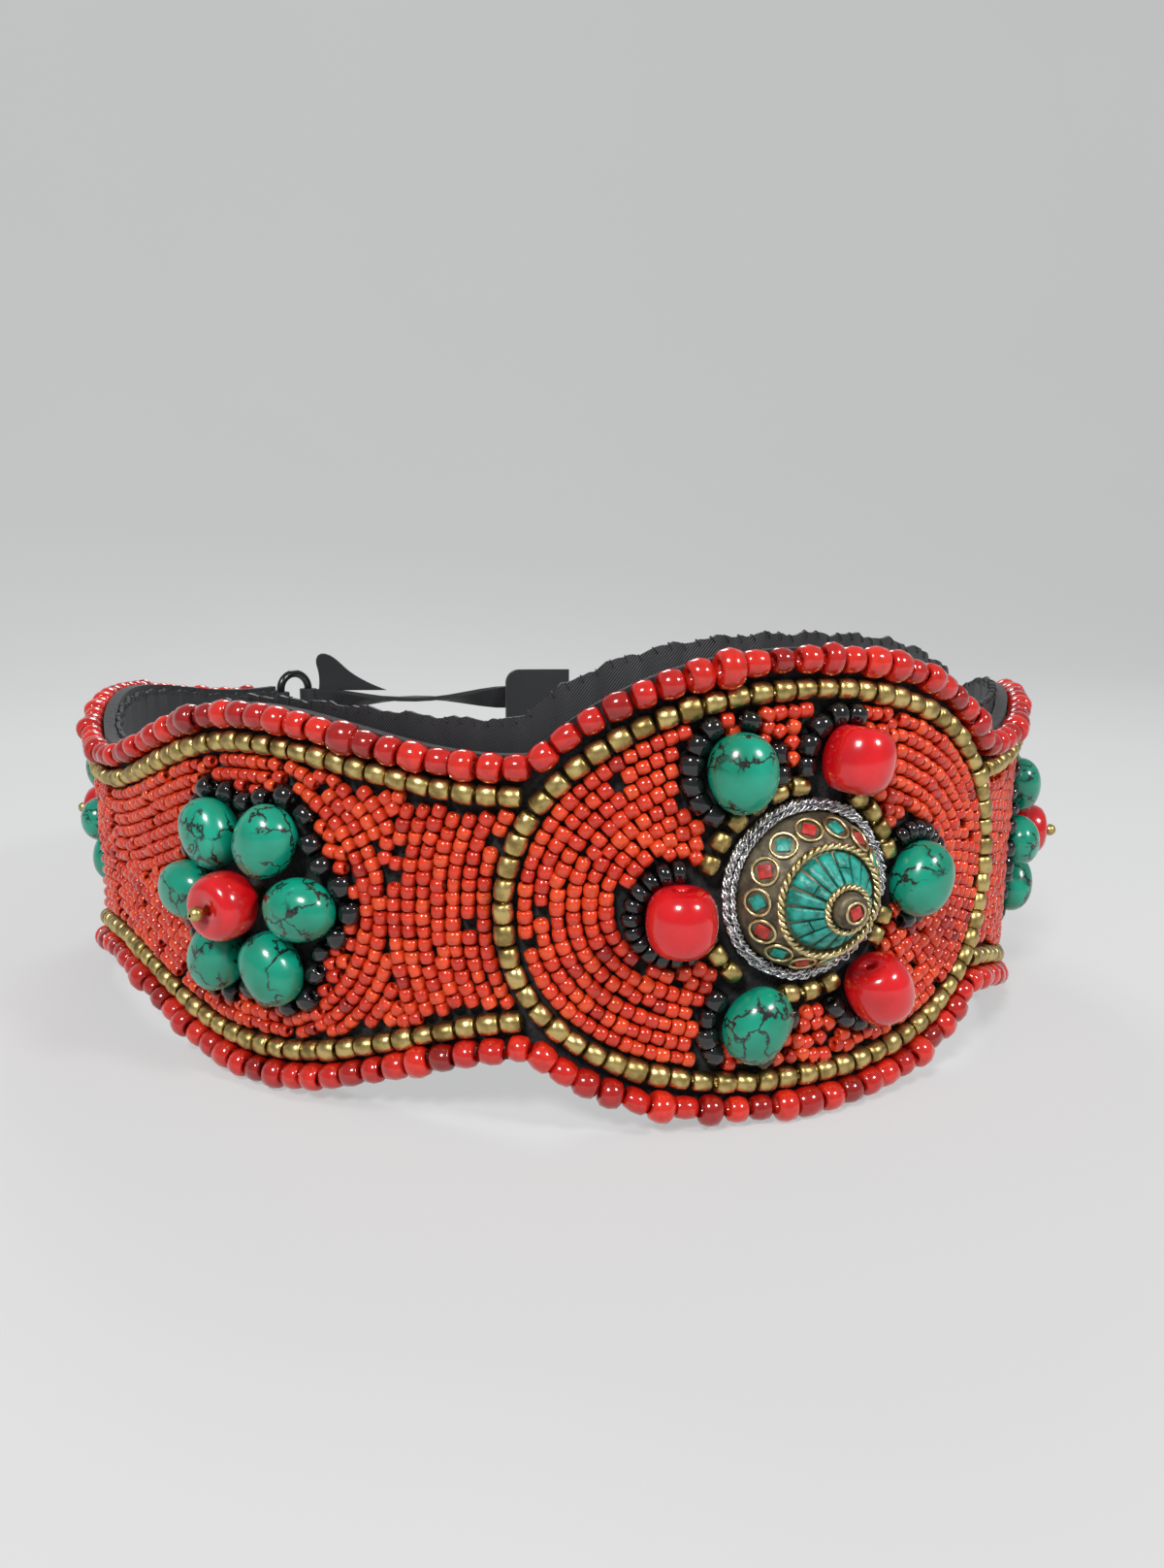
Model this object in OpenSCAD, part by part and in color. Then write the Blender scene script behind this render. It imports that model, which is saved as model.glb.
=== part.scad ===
// Beaded headband: five padded lobes hinged at soft waists, a strap closure at the back.
// +Z is up, the band stands on the lower edges of its lobes, and the wearer looks along -Y.

/* [Ring] */
// Radius of the centre lobe's curve, on the face of the ground cloth
centre_radius = 85; // [80:1:95]
// Radius of the left inner lobe's curve
left_radius = 120; // [100:1:130]
// Radius of the right inner lobe's curve
right_radius = 82; // [78:1:95]
// Radius of both outer lobes' curve
outer_radius = 82; // [78:1:90]

/* [Lobes] */
// Half the length of the centre oval, at its brass outline
oval_half_len = 43.6; // [42:0.2:46]
// Half the height of the centre oval, at its brass outline
oval_half_h = 29.2; // [27:0.2:31]
// Distance along the band from the centre to an inner rosette
inner_s = 86; // [84:0.5:90]
// Half the height of an inner lobe, at its brass rows
inner_half_h = 24.4; // [22:0.2:26]
// Half the height of the waist beside the centre lobe
inner_waist_h = 16.4; // [15:0.2:18]
// Distance along the band from the centre to the outer waist
outer_seam_s = 132; // [128:0.5:138]
// Half the height of the outer waist
outer_waist_h = 14.4; // [13:0.2:16]
// Half the height of an outer lobe, at its brass rows
outer_half_h = 22.4; // [20:0.2:24]
// Distance along the band from the centre to the beaded ends
lobe_end_s = 232; // [226:1:240]

/* [Layers] */
// Thickness of the satin lining
lining_t = 0.8; // [0.5:0.1:1.2]
// Thickness of the felt ground
ground_t = 2.2; // [1.6:0.1:3]
// Diameter of a seed bead
seed_d = 2.4; // [2:0.1:2.6]
// Diameter of a brass bead
brass_d = 3.2; // [2.8:0.1:3.4]
// Diameter of a red edge bead
edge_d = 4.4; // [3.8:0.1:4.8]

/* [Stones] */
// Diameter of a round coral bead
coral_d = 10.2; // [9:0.1:11]
// Length of a turquoise nugget
nugget_len = 12; // [10:0.5:13]
// Width of a turquoise nugget
nugget_w = 10; // [8:0.5:11]
// Diameter of a black glass bead
black_d = 3.6; // [3.2:0.1:3.6]

/* [Medallion] */
// Radius of the metal braid round the medallion
braid_r = 13.9; // [13:0.1:15]
// Height of the medallion from the cloth to the top of its boss
medallion_h = 14.5; // [14:0.5:16]
// Number of brass rings on the dome
ring_count = 14; // [10:2:18]

/* [Closure] */
// Width of the strap
strap_w = 7; // [5:0.5:7]
// Thickness of the strap
strap_t = 1.4; // [1:0.1:2]
// Height of the right tab
tab_h = 34; // [24:1:36]

/* [Hidden] */

// Joints between lobes
seam_gap = 0.4;

// Beads stand on the ground cloth, whose face is offset 0; positive offsets are outwards
brass_r = brass_d / 2;
edge_r = edge_d / 2;
black_r = black_d / 2;
row_step = brass_r + edge_r + 0.4; // from a brass row to the edge row beyond it
trim = row_step + edge_r + 0.3; // from a brass row to the edge of the ground
seed_edge = brass_r + 0.2; // from a brass row to the seed beads beside it
flange = 1.3; // lining that shows above the ground
waist_fill = 3; // extra lining at the waists
lining_rise = 0.2; // keeps the lining off the table
lining_back = 0.4; // the centre lining stops this far short of its seam, clear of the folding lobes
centre_z = oval_half_h + trim; // height of the oval's centre over the table
oval_power = 2.2;
outer_end_h = 18;
outer_s = (outer_seam_s + lobe_end_s) / 2;
seam_edge = brass_r + 0.15;
seam_s = oval_half_len + seam_edge;
plan_shift = [11.07, 2.14]; // brings the box's middle over the origin
fine = 32;
layer = 0.1; // clearance between stacked pieces of one lobe
end_round = 5; // corners of the beaded ends

// Stones of the centre lobe, each [distance along the band, height, angle of its long axis or hole]
centre_corals = [[-19.4, -2, 90], [5.4, 19.3, 80], [11.6, -15.8, 120]];
centre_nuggets = [[-11.5, 18.2, 100], [20, 0.4, 60], [-8, -19, 60]];
nugget_h = 8.4;
coral_string_r = 6.2;
nugget_string_r = 7.3;

// Rosettes
petal_len = 12;
petal_w = 10;
petal_h = 8.4;
petal_ring_r = 11.6;
rosette_string_r = 18.8;
rosette_coral_d = 10.6;
rosette_coral_len = 7.2;
rosette_coral_low = 3.9;
pin_d = 1;
pin_ball_d = 2.4;
pin_top = rosette_coral_low + rosette_coral_len + pin_ball_d / 2 + layer;

// Medallion, from the cloth up: plate, dome skirt, turquoise cone, boss
dome_r = 11.7;
cone_r = 7.1;
boss_r = 2.6;
plate_t = 1;
braid_h = 3.5;
dome_foot = layer + plate_t;
dome_low = 1.5;
dome_rise = 5;
cone_h = dome_foot + dome_low + dome_rise;
cone_rise = 4.4;
bezel_h = 0.5;
boss_top = medallion_h - bezel_h;
shoulder = 0.6; // the skirt's flat shoulder round the cone
wall = 0.9;
dome_mid_r = (dome_r + cone_r + shoulder) / 2;
dome_mid_h = dome_foot + dome_low + dome_rise / 2;
dome_slope = atan2(dome_rise, dome_r - cone_r - shoulder);
cell_r = 2;
chip_side = 1.9;
collar_count = 28;
collar_r = 1.5;
collar_ring_r = 15.7;

// Closure. Heights are over the outer lobes' middle line.
cloth_end = lobe_end_s + trim;
closure_z = 15;
tab_t = 1.6;
ring_s = 246.5; // the ring's middle
ring_half = 4.5;
ring_straight = 7.5;
ring_wire_r = 1.1;
sleeve_r = ring_wire_r + 1.3;
sleeve_gap = 0.1;
tab_end = 258;
pad_t = 0.75;
pads_gap = 0.3; // the fastened pads stand this far apart
plate_from = 240;
pad_face = 2 * pad_t + pads_gap + 0.1; // inner face of the strap's plate
tab_high = 28;
cloth_end_gap = ring_s - ring_half - sleeve_r + 0.4 - cloth_end;
plate_to = 256;
plate_low = 5;
plate_high = 23.4;
upper_z = closure_z + ring_straight - strap_w / 2;
lower_z = closure_z - ring_straight + strap_w / 2;
tail_foot = 22.8; // lower edge of the strap's tail
tail_from = 3;
tail_len = 19;
tail_tip_r = 4.2;
tail_h = 9.5;

// Plan of the band: arcs that meet at the seams. turn is the way the face looks, 0 at the front.
function side_radius(s) = s < 0 ? left_radius : right_radius;
function deg(length, radius) = length / radius * 180 / PI;
function turn(s) =
    let(a = abs(s), first = deg(min(a, seam_s), centre_radius),
        second = deg(max(0, min(a, outer_seam_s) - seam_s), side_radius(s)),
        third = deg(max(0, a - outer_seam_s), outer_radius))
    sign(s) * (first + second + third);
function out(angle) = [sin(angle), -cos(angle)];
function seam_turn(s) = turn(sign(s) * seam_s);
function outer_turn(s) = turn(sign(s) * outer_seam_s);
function arc_centre(s) =
    let(inner = (centre_radius - side_radius(s)) * out(seam_turn(s)),
        outer = inner + (side_radius(s) - outer_radius) * out(outer_turn(s)))
    abs(s) <= seam_s ? [0, 0] : abs(s) <= outer_seam_s ? inner : outer;
function arc_radius(s) =
    abs(s) <= seam_s ? centre_radius : abs(s) <= outer_seam_s ? side_radius(s) : outer_radius;
// Height of the band's middle line: every lobe's lower edge reaches the table
function middle_z(s) =
    let(a = abs(s), inner_rise = inner_half_h - oval_half_h, outer_rise = outer_half_h - oval_half_h)
    centre_z + (a < inner_s ? swell(0, inner_rise, a / inner_s)
        : swell(inner_rise, outer_rise, min(1, (a - inner_s) / (outer_s - inner_s))));
function on_band(s, z, o) =
    let(p = arc_centre(s) + (arc_radius(s) + o) * out(turn(s)) + plan_shift)
    [p.x, p.y, middle_z(s) + z];

module at(s, z = 0, o = 0) {
    translate(on_band(s, z, o)) rotate([90, 0, turn(s)]) children();
}

// Outline: half height of the band at s, e beyond its brass rows, with the waists filled by w
function swell(from, to, x) = from + (to - from) * (1 - cos(180 * x)) / 2;
function round_off(x) = pow(max(0, 1 - pow(abs(x), oval_power)), 1 / oval_power);
function oval_h(s, e) = (oval_half_h + e) * round_off(s / (oval_half_len + e));
function oval_s(z, e) = (oval_half_len + e) * round_off(z / (oval_half_h + e));
function waist_s(e, w) = oval_s(inner_waist_h + e + w, e);
function half_h(s, e, w = 0) =
    let(a = abs(s), neck = waist_s(e, w))
    a < neck ? oval_h(a, e)
    : a < inner_s ? e + swell(inner_waist_h + w, inner_half_h, (a - neck) / (inner_s - neck))
    : a < outer_seam_s ? e + swell(inner_half_h, outer_waist_h + w, (a - inner_s) / (outer_seam_s - inner_s))
    : a < outer_s ? e + swell(outer_waist_h + w, outer_half_h, (a - outer_seam_s) / (outer_s - outer_seam_s))
    : e + swell(outer_half_h, outer_end_h, (a - outer_s) / (lobe_end_s - outer_s));
// The seam beside the oval follows its brass column up to the waist, then runs straight to the edge.
// v runs from -1 at a sheet's lower edge to 1 at its upper edge, and reach is its half height there.
function seam(v, e, reach) = oval_s(min(abs(v) * reach, inner_waist_h + e), e);

// Where a lobe's sheet starts and stops along the band. Lobes are -2, -1, 0, 1 and 2 from left to right.
function start_s(lobe, v, e, reach, end) =
    lobe == 0 ? -seam(v, e, reach)
    : lobe == -1 ? -(outer_seam_s - seam_gap / 2)
    : lobe == -2 ? -(lobe_end_s + end)
    : lobe == 1 ? seam(v, e, reach) + seam_gap
    : outer_seam_s + seam_gap / 2;
function stop_s(lobe, v, e, reach, end) = -start_s(-lobe, v, e, reach, end);

// A curved sheet between two offsets. start and stop give its ends at v, low and high its edges at s.
module sheet(start, stop, low, high, o_in, o_out, cols = 14, rows = 8) {
    function place(i, j, o) =
        let(v = 2 * j / rows - 1, s = start(v) + (stop(v) - start(v)) * i / cols)
        on_band(s, v < 0 ? -v * low(s) : v * high(s), o);
    points = [for (i = [0:cols], j = [0:rows], o = [o_in, o_out]) place(i, j, o)];
    function id(i, j, k) = 2 * (i * (rows + 1) + j) + k;
    function quad(a, b, c, d) = [[a, b, c], [a, c, d]];
    faces = concat(
        [for (i = [0:cols - 1], j = [0:rows - 1])
            each quad(id(i, j, 1), id(i, j + 1, 1), id(i + 1, j + 1, 1), id(i + 1, j, 1))],
        [for (i = [0:cols - 1], j = [0:rows - 1])
            each quad(id(i, j, 0), id(i + 1, j, 0), id(i + 1, j + 1, 0), id(i, j + 1, 0))],
        [for (i = [0:cols - 1]) each quad(id(i, 0, 0), id(i, 0, 1), id(i + 1, 0, 1), id(i + 1, 0, 0))],
        [for (i = [0:cols - 1])
            each quad(id(i, rows, 0), id(i + 1, rows, 0), id(i + 1, rows, 1), id(i, rows, 1))],
        [for (j = [0:rows - 1]) each quad(id(0, j, 0), id(0, j + 1, 0), id(0, j + 1, 1), id(0, j, 1))],
        [for (j = [0:rows - 1])
            each quad(id(cols, j, 0), id(cols, j, 1), id(cols, j + 1, 1), id(cols, j + 1, 0))]);
    polyhedron(points, faces, convexity = 6);
}

// A skin over rings of points, each ring turning left-handed about the way ahead
module skin(rings, closed = false) {
    n = len(rings);
    sides = len(rings[0]);
    function id(i, k) = (i % n) * sides + k % sides;
    sleeve = [for (i = [0:closed ? n - 1 : n - 2], k = [0:sides - 1])
        each [[id(i, k), id(i + 1, k + 1), id(i + 1, k)], [id(i, k), id(i, k + 1), id(i + 1, k + 1)]]];
    last = sides - 1;
    caps = closed ? [] : [[for (k = [0:last]) id(0, last - k)], [for (k = [0:last]) id(n - 1, k)]];
    polyhedron([for (r = rings) each r], concat(sleeve, caps), convexity = 6);
}
function unit(v) = v / norm(v);

// A rod of six sides along stations of [s, z, offset]; a closed one joins its ends
module rod(route, radius, closed = false) {
    sides = 6;
    n = len(route);
    spots = [for (r = route) on_band(r[0], r[1], r[2])];
    function ahead(i) = closed ? (i + 1) % n : min(i + 1, n - 1);
    function behind(i) = closed ? (i + n - 1) % n : max(i - 1, 0);
    function ring(i) =
        let(t = unit(spots[ahead(i)] - spots[behind(i)]), face = concat(out(turn(route[i][0])), 0),
            up = unit(cross(t, face)), side = cross(up, t))
        [for (a = [0:360 / sides:359]) spots[i] + radius * (cos(a) * up + sin(a) * side)];
    skin([for (i = [0:n - 1]) ring(i)], closed);
}

// A ribbon between two points, upright at its ends and turned flat half way, hanging by sag
module ribbon(from, to, width, thickness, sag) {
    n = 12;
    t = unit(to - from);
    level = unit(cross(t, [0, 0, 1]));
    function ring(i) =
        let(x = i / n, a = 90 * sin(180 * x), up = cos(a) * cross(level, t) + sin(a) * level,
            side = cross(up, t),
            spot = from + (to - from) * x - [0, 0, 4 * sag * x * (1 - x)])
        [for (c = [[1, 1], [-1, 1], [-1, -1], [1, -1]])
            spot + c[0] * up * width / 2 + c[1] * side * thickness / 2];
    skin([for (i = [0:n]) ring(i)]);
}

// Layers of one lobe
module lobe_sheet(lobe, e_up, w_up, e_down, w_down, o_in, o_out, e_seam, end) {
    function reach(v) = inner_waist_h + (v < 0 ? e_down + w_down : e_up + w_up);
    sheet(function(v) start_s(lobe, v, e_seam, reach(v), end),
        function(v) stop_s(lobe, v, e_seam, reach(v), end),
        function(s) -half_h(s, e_down, w_down), function(s) half_h(s, e_up, w_up), o_in, o_out);
}

module lining(lobe) {
    e_seam = lobe == 0 ? seam_edge - lining_back : seam_edge;
    color("#17181b")
        lobe_sheet(lobe, trim + flange, waist_fill, trim - lining_rise, waist_fill / 2,
            -ground_t - lining_t - layer, -ground_t - layer, e_seam, trim);
}
module ground(lobe) {
    color("#0e0f11")
        lobe_sheet(lobe, trim, 1, trim, 0.5, -ground_t, 0, seam_edge, trim);
}
module pocket(radius) {
    cylinder(h = 20, r = radius, center = true, $fn = fine);
}
module seed_beads(lobe) {
    color("#c9391f") difference() {
        lobe_sheet(lobe, -seed_edge, 0, -seed_edge, 0, layer, seed_d, lobe == 0 ? -seed_edge : seed_edge,
            -seed_edge - 2.4);
        if (lobe == 0) {
            at(0) pocket(collar_ring_r + collar_r + 0.6);
            for (c = centre_corals) at(c[0], c[1]) pocket(coral_string_r + black_r + 0.3);
            for (c = centre_nuggets) at(c[0], c[1]) pocket(nugget_string_r + black_r + 0.3);
        } else {
            at(crest(lobe)) pocket(rosette_string_r + black_r + 0.4);
        }
    }
}
function crest(lobe) = abs(lobe) == 1 ? lobe * inner_s : sign(lobe) * outer_s;

// Stations of a row between s1 and s2, e beyond the brass outline, on the upper (1) or lower (-1) edge
function row(s1, s2, e, edge, o, n = 18) =
    [for (i = [0:n]) let(s = s1 + (s2 - s1) * i / n) [s, edge * half_h(s, e), o]];
function oval_spot(a, o) =
    let(c = cos(a), q = sin(a), p = 2 / oval_power)
    [oval_half_len * sign(c) * pow(abs(c), p), oval_half_h * sign(q) * pow(abs(q), p), o];
// An outer lobe's row: along the top, round the end's corners and back along the bottom
function end_row(side, e, o) =
    let(end = side * (lobe_end_s + e), last = end - side * end_round, first = side * (outer_seam_s + 0.3),
        top = half_h(end, e),
        column = [for (i = [1:7]) let(a = 90 - 22.5 * i)
            [last + side * end_round * cos(a), (top - end_round) * sign(round(a)) + end_round * sin(a), o]])
    concat(row(first, last, e, 1, o, 14), column, row(last, first, e, -1, o, 14));
module lobe_rows(lobe, e, radius) {
    o = radius + layer;
    corner = waist_s(e, 0);
    past_corner = e == 0 ? 2.4 * brass_r : 1.2; // an inner lobe's rows start beyond the centre lobe's
    before_corner = 1.6;
    if (lobe == 0 && e == 0) {
        rod([for (a = [0:6:354]) oval_spot(a, o)], radius, true);
    } else if (lobe == 0) {
        for (edge = [-1, 1]) rod(row(before_corner - corner, corner - before_corner, e, edge, o, 22), radius);
    } else if (abs(lobe) == 1) {
        for (edge = [-1, 1])
            rod(row(lobe * (corner + past_corner), lobe * (outer_seam_s - 0.3), e, edge, o), radius);
    } else {
        rod(end_row(sign(lobe), e, o), radius);
    }
}
module brass_beads(lobe) {
    color("#8a7436") lobe_rows(lobe, 0, brass_r);
}
module edge_beads(lobe) {
    color("#a81f18") lobe_rows(lobe, row_step, edge_r);
}

// Stones
module nugget(length, width, height) {
    scale([length, width, height] / 2) sphere(r = 1, $fn = fine);
}
module coral(diameter, length, hole) {
    difference() {
        intersection() {
            sphere(d = diameter, $fn = fine);
            cube([diameter, diameter, length], center = true);
        }
        cylinder(h = diameter, d = hole, center = true, $fn = fine);
    }
}
// Black beads strung round a stone, from one angle over a sweep
module string(radius, from, sweep) {
    translate([0, 0, black_r + layer]) rotate([0, 0, from]) rotate_extrude(angle = sweep, $fn = fine)
        translate([radius, 0]) circle(r = black_r, $fn = fine);
}

module centre_coral() {
    color("#c4121a") for (c = centre_corals)
        at(c[0], c[1], coral_d / 2 + layer) rotate([0, 0, c[2]]) rotate([0, 90, 0])
            coral(coral_d, coral_d - 0.6, 1.2);
}
module centre_turquoise() {
    color("#12977c") for (c = centre_nuggets)
        at(c[0], c[1], nugget_h / 2 + layer) rotate([0, 0, c[2]]) nugget(nugget_len, nugget_w, nugget_h);
}
module centre_black_beads() {
    color("#151515") {
        for (c = [[centre_corals[0], 90, 180], [centre_corals[1], 80, 90], [centre_corals[2], 210, 90]])
            at(c[0][0], c[0][1]) string(coral_string_r, c[1], c[2]);
        for (c = [[centre_nuggets[0], 130, 95], [centre_nuggets[1], 20, 80], [centre_nuggets[2], 140, 80]])
            at(c[0][0], c[0][1]) string(nugget_string_r, c[1], c[2]);
    }
}

// Rosettes: six petals round a coral bead that turns on its pin
module petals(lobe) {
    color("#12977c") for (a = [0:60:300])
        at(crest(lobe) + petal_ring_r * cos(a), petal_ring_r * sin(a), petal_h / 2 + layer)
            rotate([0, 0, a]) nugget(petal_len, petal_w, petal_h);
}
module rosette_black_beads(lobe) {
    color("#151515") for (from = [-20, 190]) rod(
        [for (a = [from:10:from + 130])
            [crest(lobe) + rosette_string_r * cos(a), rosette_string_r * sin(a), black_r + layer]], black_r);
}
module pin(lobe) {
    color("#a98c45") at(crest(lobe)) {
        translate([0, 0, layer]) cylinder(h = rosette_coral_low - 2 * layer, d = 3.2, $fn = fine);
        translate([0, 0, rosette_coral_low - 2 * layer])
            cylinder(h = pin_top - rosette_coral_low, d = pin_d, $fn = fine);
        translate([0, 0, pin_top]) sphere(d = pin_ball_d, $fn = fine);
    }
}
module rosette_coral(lobe) {
    color("#c4121a") at(crest(lobe), 0, rosette_coral_low + rosette_coral_len / 2)
        coral(rosette_coral_d, rosette_coral_len, pin_d + 0.1);
}

// Medallion, on its own axis; heights are over the cloth
module on_dome(angle) {
    rotate([0, 0, angle]) translate([dome_mid_r, 0, dome_mid_h]) rotate([0, dome_slope, 0]) children();
}
module tube(h, r, hole_r) {
    difference() {
        cylinder(h = h, r = r, $fn = fine);
        translate([0, 0, -1]) cylinder(h = h + 2, r = hole_r, $fn = fine);
    }
}
module medallion_plate() {
    color("#6f6248") at(0, 0, layer) cylinder(h = plate_t - 0.05, r = dome_r, $fn = fine);
}
module medallion_braid() {
    color("#c9c9c9") at(0, 0, layer) tube(braid_h, braid_r, dome_r + 0.4);
}
module medallion_dome() {
    top = cone_h + cone_rise;
    color("#4a4233") at(0) rotate_extrude($fn = 64) polygon([
        [0, cone_h - wall], [cone_r - shoulder, cone_h - wall], [dome_r - wall, dome_foot + dome_low],
        [dome_r - wall, dome_foot], [dome_r, dome_foot], [dome_r, dome_foot + dome_low],
        [cone_r + shoulder, cone_h], [cone_r - shoulder, cone_h], [boss_r - shoulder, top], [boss_r, top],
        [boss_r, boss_top], [0, boss_top]]);
}
module medallion_cone() {
    low = cone_h + 0.05;
    top = cone_h + cone_rise - 0.05;
    color("#159a86") at(0) rotate_extrude($fn = 64) polygon([
        [cone_r - shoulder + 0.1, low], [cone_r + 0.2, low],
        [boss_r + 0.2, top], [boss_r - shoulder + 0.15, top]]);
}
module wire_ring(radius, height, wire) {
    translate([0, 0, height]) rotate_extrude($fn = 64) translate([radius, 0]) circle(d = wire, $fn = fine);
}
module medallion_brasswork() {
    color("#b39a52") at(0) {
        for (i = [0:ring_count - 1]) on_dome(360 * i / ring_count) translate([0, 0, 0.05])
            tube(0.5, cell_r, cell_r - 0.45);
        wire_ring(cone_r + 0.95, cone_h + 0.6, 1);
        wire_ring(boss_r + 0.75, cone_h + cone_rise + 0.3, 0.8);
        translate([0, 0, boss_top]) tube(bezel_h, 1.7, 1.25);
    }
}
module chip(side) {
    translate([0, 0, 0.3]) cube([side, side, 0.5], center = true);
}
module medallion_chips_coral() {
    color("#c02a22") at(0) {
        for (i = [0:2:ring_count - 1]) on_dome(360 * i / ring_count) rotate([0, 0, 45]) chip(chip_side);
        translate([0, 0, boss_top - 0.05]) chip(1.4);
    }
}
module medallion_chips_turquoise() {
    color("#159a86") at(0) for (i = [1:2:ring_count - 1])
        on_dome(360 * i / ring_count) rotate([0, 0, 45]) chip(chip_side);
}
// Collar beads leave out the places where a stone leans over the collar
function collar_spot(i) = let(a = 360 * (i + 0.5) / collar_count) collar_ring_r * [cos(a), sin(a)];
function far_from(p, stones, gap) = min([for (c = stones) norm([c[0], c[1]] - p)]) > gap;
module collar_beads() {
    color("#8a7436") for (i = [0:collar_count - 1]) let(p = collar_spot(i))
        if (far_from(p, centre_corals, 5.9) && far_from(p, centre_nuggets, 7.3))
            at(p[0], p[1], collar_r + layer) sphere(r = collar_r, $fn = fine);
}

// Closure: a ring in the left tab's sleeve, and a strap whose hooked end grips the right tab
module cloth_piece(s1, s2, z1, z2, o_in, o_out) {
    sheet(function(v) s1, function(v) s2, function(s) z1, function(s) z2, o_in, o_out, 6, 1);
}
module at_ring_bar(side) {
    at(-ring_s, closure_z) translate([side * ring_half, 0, 0]) children();
}
module bar_sleeve(z, length) {
    translate([0, z - length / 2, 0]) rotate([-90, 0, 0]) tube(length, sleeve_r, ring_wire_r + sleeve_gap);
}
module left_tab() {
    color("#17181b") {
        at_ring_bar(1) {
            bar_sleeve(0, 14);
            translate([sleeve_r - 0.5, -7, -0.8]) cube([cloth_end_gap, 14, tab_t]);
        }
    }
}
module loop_ring() {
    color("#1c1c1e") at(-ring_s, closure_z) {
        for (side = [-1, 1]) translate([side * ring_half, 0, 0]) rotate([90, 0, 0])
            cylinder(h = 2 * ring_straight, r = ring_wire_r, center = true, $fn = fine);
        for (up = [0, 180]) rotate([0, 0, up]) translate([0, ring_straight, 0])
            rotate_extrude(angle = 180, $fn = fine) translate([ring_half, 0])
                circle(r = ring_wire_r, $fn = fine);
    }
}
// The strap runs straight from the ring's outer bar to the plate over the right tab
outer_mid_z = middle_z(lobe_end_s);
bar_spot = on_band(-ring_s, 0, 0) - ring_half * [cos(turn(-ring_s)), sin(turn(-ring_s)), 0];
plate_spot = on_band(plate_to, 0, pad_face + strap_t / 2);
strap_way = unit([plate_spot.x - bar_spot.x, plate_spot.y - bar_spot.y, 0]);
strap_angle = atan2(strap_way.y, strap_way.x);
module strap() {
    start = [bar_spot.x, bar_spot.y, 0] + strap_way * (sleeve_r - 0.4);
    end = [plate_spot.x, plate_spot.y, 0] + strap_way * 0.5;
    color("#141517") {
        for (z = [upper_z, lower_z]) at_ring_bar(-1) bar_sleeve(z - closure_z, strap_w - 0.1);
        ribbon(start + [0, 0, outer_mid_z + upper_z],
            end + [0, 0, outer_mid_z + plate_high - strap_w / 2 - 0.3], strap_w - 0.4, strap_t - 0.2, 0);
        ribbon(start + [0, 0, outer_mid_z + lower_z], end + [0, 0, outer_mid_z + plate_low + strap_w / 2 + 1],
            strap_w - 0.4, strap_t - 0.2, 3);
        cloth_piece(plate_from, plate_to, plate_low, plate_high, pad_face, pad_face + strap_t);
    }
}
module hook_pad() {
    color("#101113")
        cloth_piece(plate_from + 1, plate_to - 1, plate_low + 1, plate_high - 1,
            pad_face - 0.05 - pad_t, pad_face - 0.05);
}
module pile_pad() {
    color("#101113")
        cloth_piece(plate_from + 1, plate_to - 1, plate_low + 1, plate_high - 1, 0.05, 0.05 + pad_t);
}
module right_tab() {
    color("#17181b") difference() {
        cloth_piece(cloth_end + 0.05, tab_end, tab_high - tab_h, tab_high, -tab_t, 0);
        for (up = [0, 1]) at(tab_end, tab_high - up * tab_h, -tab_t / 2) rotate([0, 0, up * 90])
            translate([-4, -4, 0]) corner_cut(4);
    }
}
// What a rounded upper corner takes off, its round's centre at the origin
module corner_cut(r) {
    translate([0, 0, -5]) linear_extrude(10) difference() {
        square(r + 3);
        circle(r = r, $fn = fine);
    }
}
module strap_tail() {
    color("#141517") translate([bar_spot.x, bar_spot.y, outer_mid_z + tail_foot]) rotate([90, 0, strap_angle])
        translate([0, 0, -strap_t / 2]) linear_extrude(strap_t) hull() {
            translate([tail_from, 0]) square([tail_len, 1]);
            translate([tail_from + tail_tip_r + 0.5, tail_h - tail_tip_r]) circle(r = tail_tip_r, $fn = fine);
        }
}

lining(0);  // centre_lining
ground(0);  // centre_ground
seed_beads(0);  // centre_seed_beads
brass_beads(0);  // centre_brass_beads
edge_beads(0);  // centre_edge_beads
lining(-1);  // left_inner_lining
ground(-1);  // left_inner_ground
seed_beads(-1);  // left_inner_seed_beads
brass_beads(-1);  // left_inner_brass_beads
edge_beads(-1);  // left_inner_edge_beads
lining(-2);  // left_outer_lining
ground(-2);  // left_outer_ground
seed_beads(-2);  // left_outer_seed_beads
brass_beads(-2);  // left_outer_brass_beads
edge_beads(-2);  // left_outer_edge_beads
lining(1);  // right_inner_lining
ground(1);  // right_inner_ground
seed_beads(1);  // right_inner_seed_beads
brass_beads(1);  // right_inner_brass_beads
edge_beads(1);  // right_inner_edge_beads
lining(2);  // right_outer_lining
ground(2);  // right_outer_ground
seed_beads(2);  // right_outer_seed_beads
brass_beads(2);  // right_outer_brass_beads
edge_beads(2);  // right_outer_edge_beads
medallion_plate();
medallion_braid();
medallion_dome();
medallion_brasswork();
medallion_chips_coral();
medallion_chips_turquoise();
medallion_cone();
collar_beads();
centre_turquoise();
centre_coral();
centre_black_beads();
petals(-1);  // left_inner_petals
rosette_black_beads(-1);  // left_inner_black_beads
pin(-1);  // left_inner_pin
rosette_coral(-1);  // left_inner_coral
petals(-2);  // left_outer_petals
rosette_black_beads(-2);  // left_outer_black_beads
pin(-2);  // left_outer_pin
rosette_coral(-2);  // left_outer_coral
petals(1);  // right_inner_petals
rosette_black_beads(1);  // right_inner_black_beads
pin(1);  // right_inner_pin
rosette_coral(1);  // right_inner_coral
petals(2);  // right_outer_petals
rosette_black_beads(2);  // right_outer_black_beads
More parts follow.
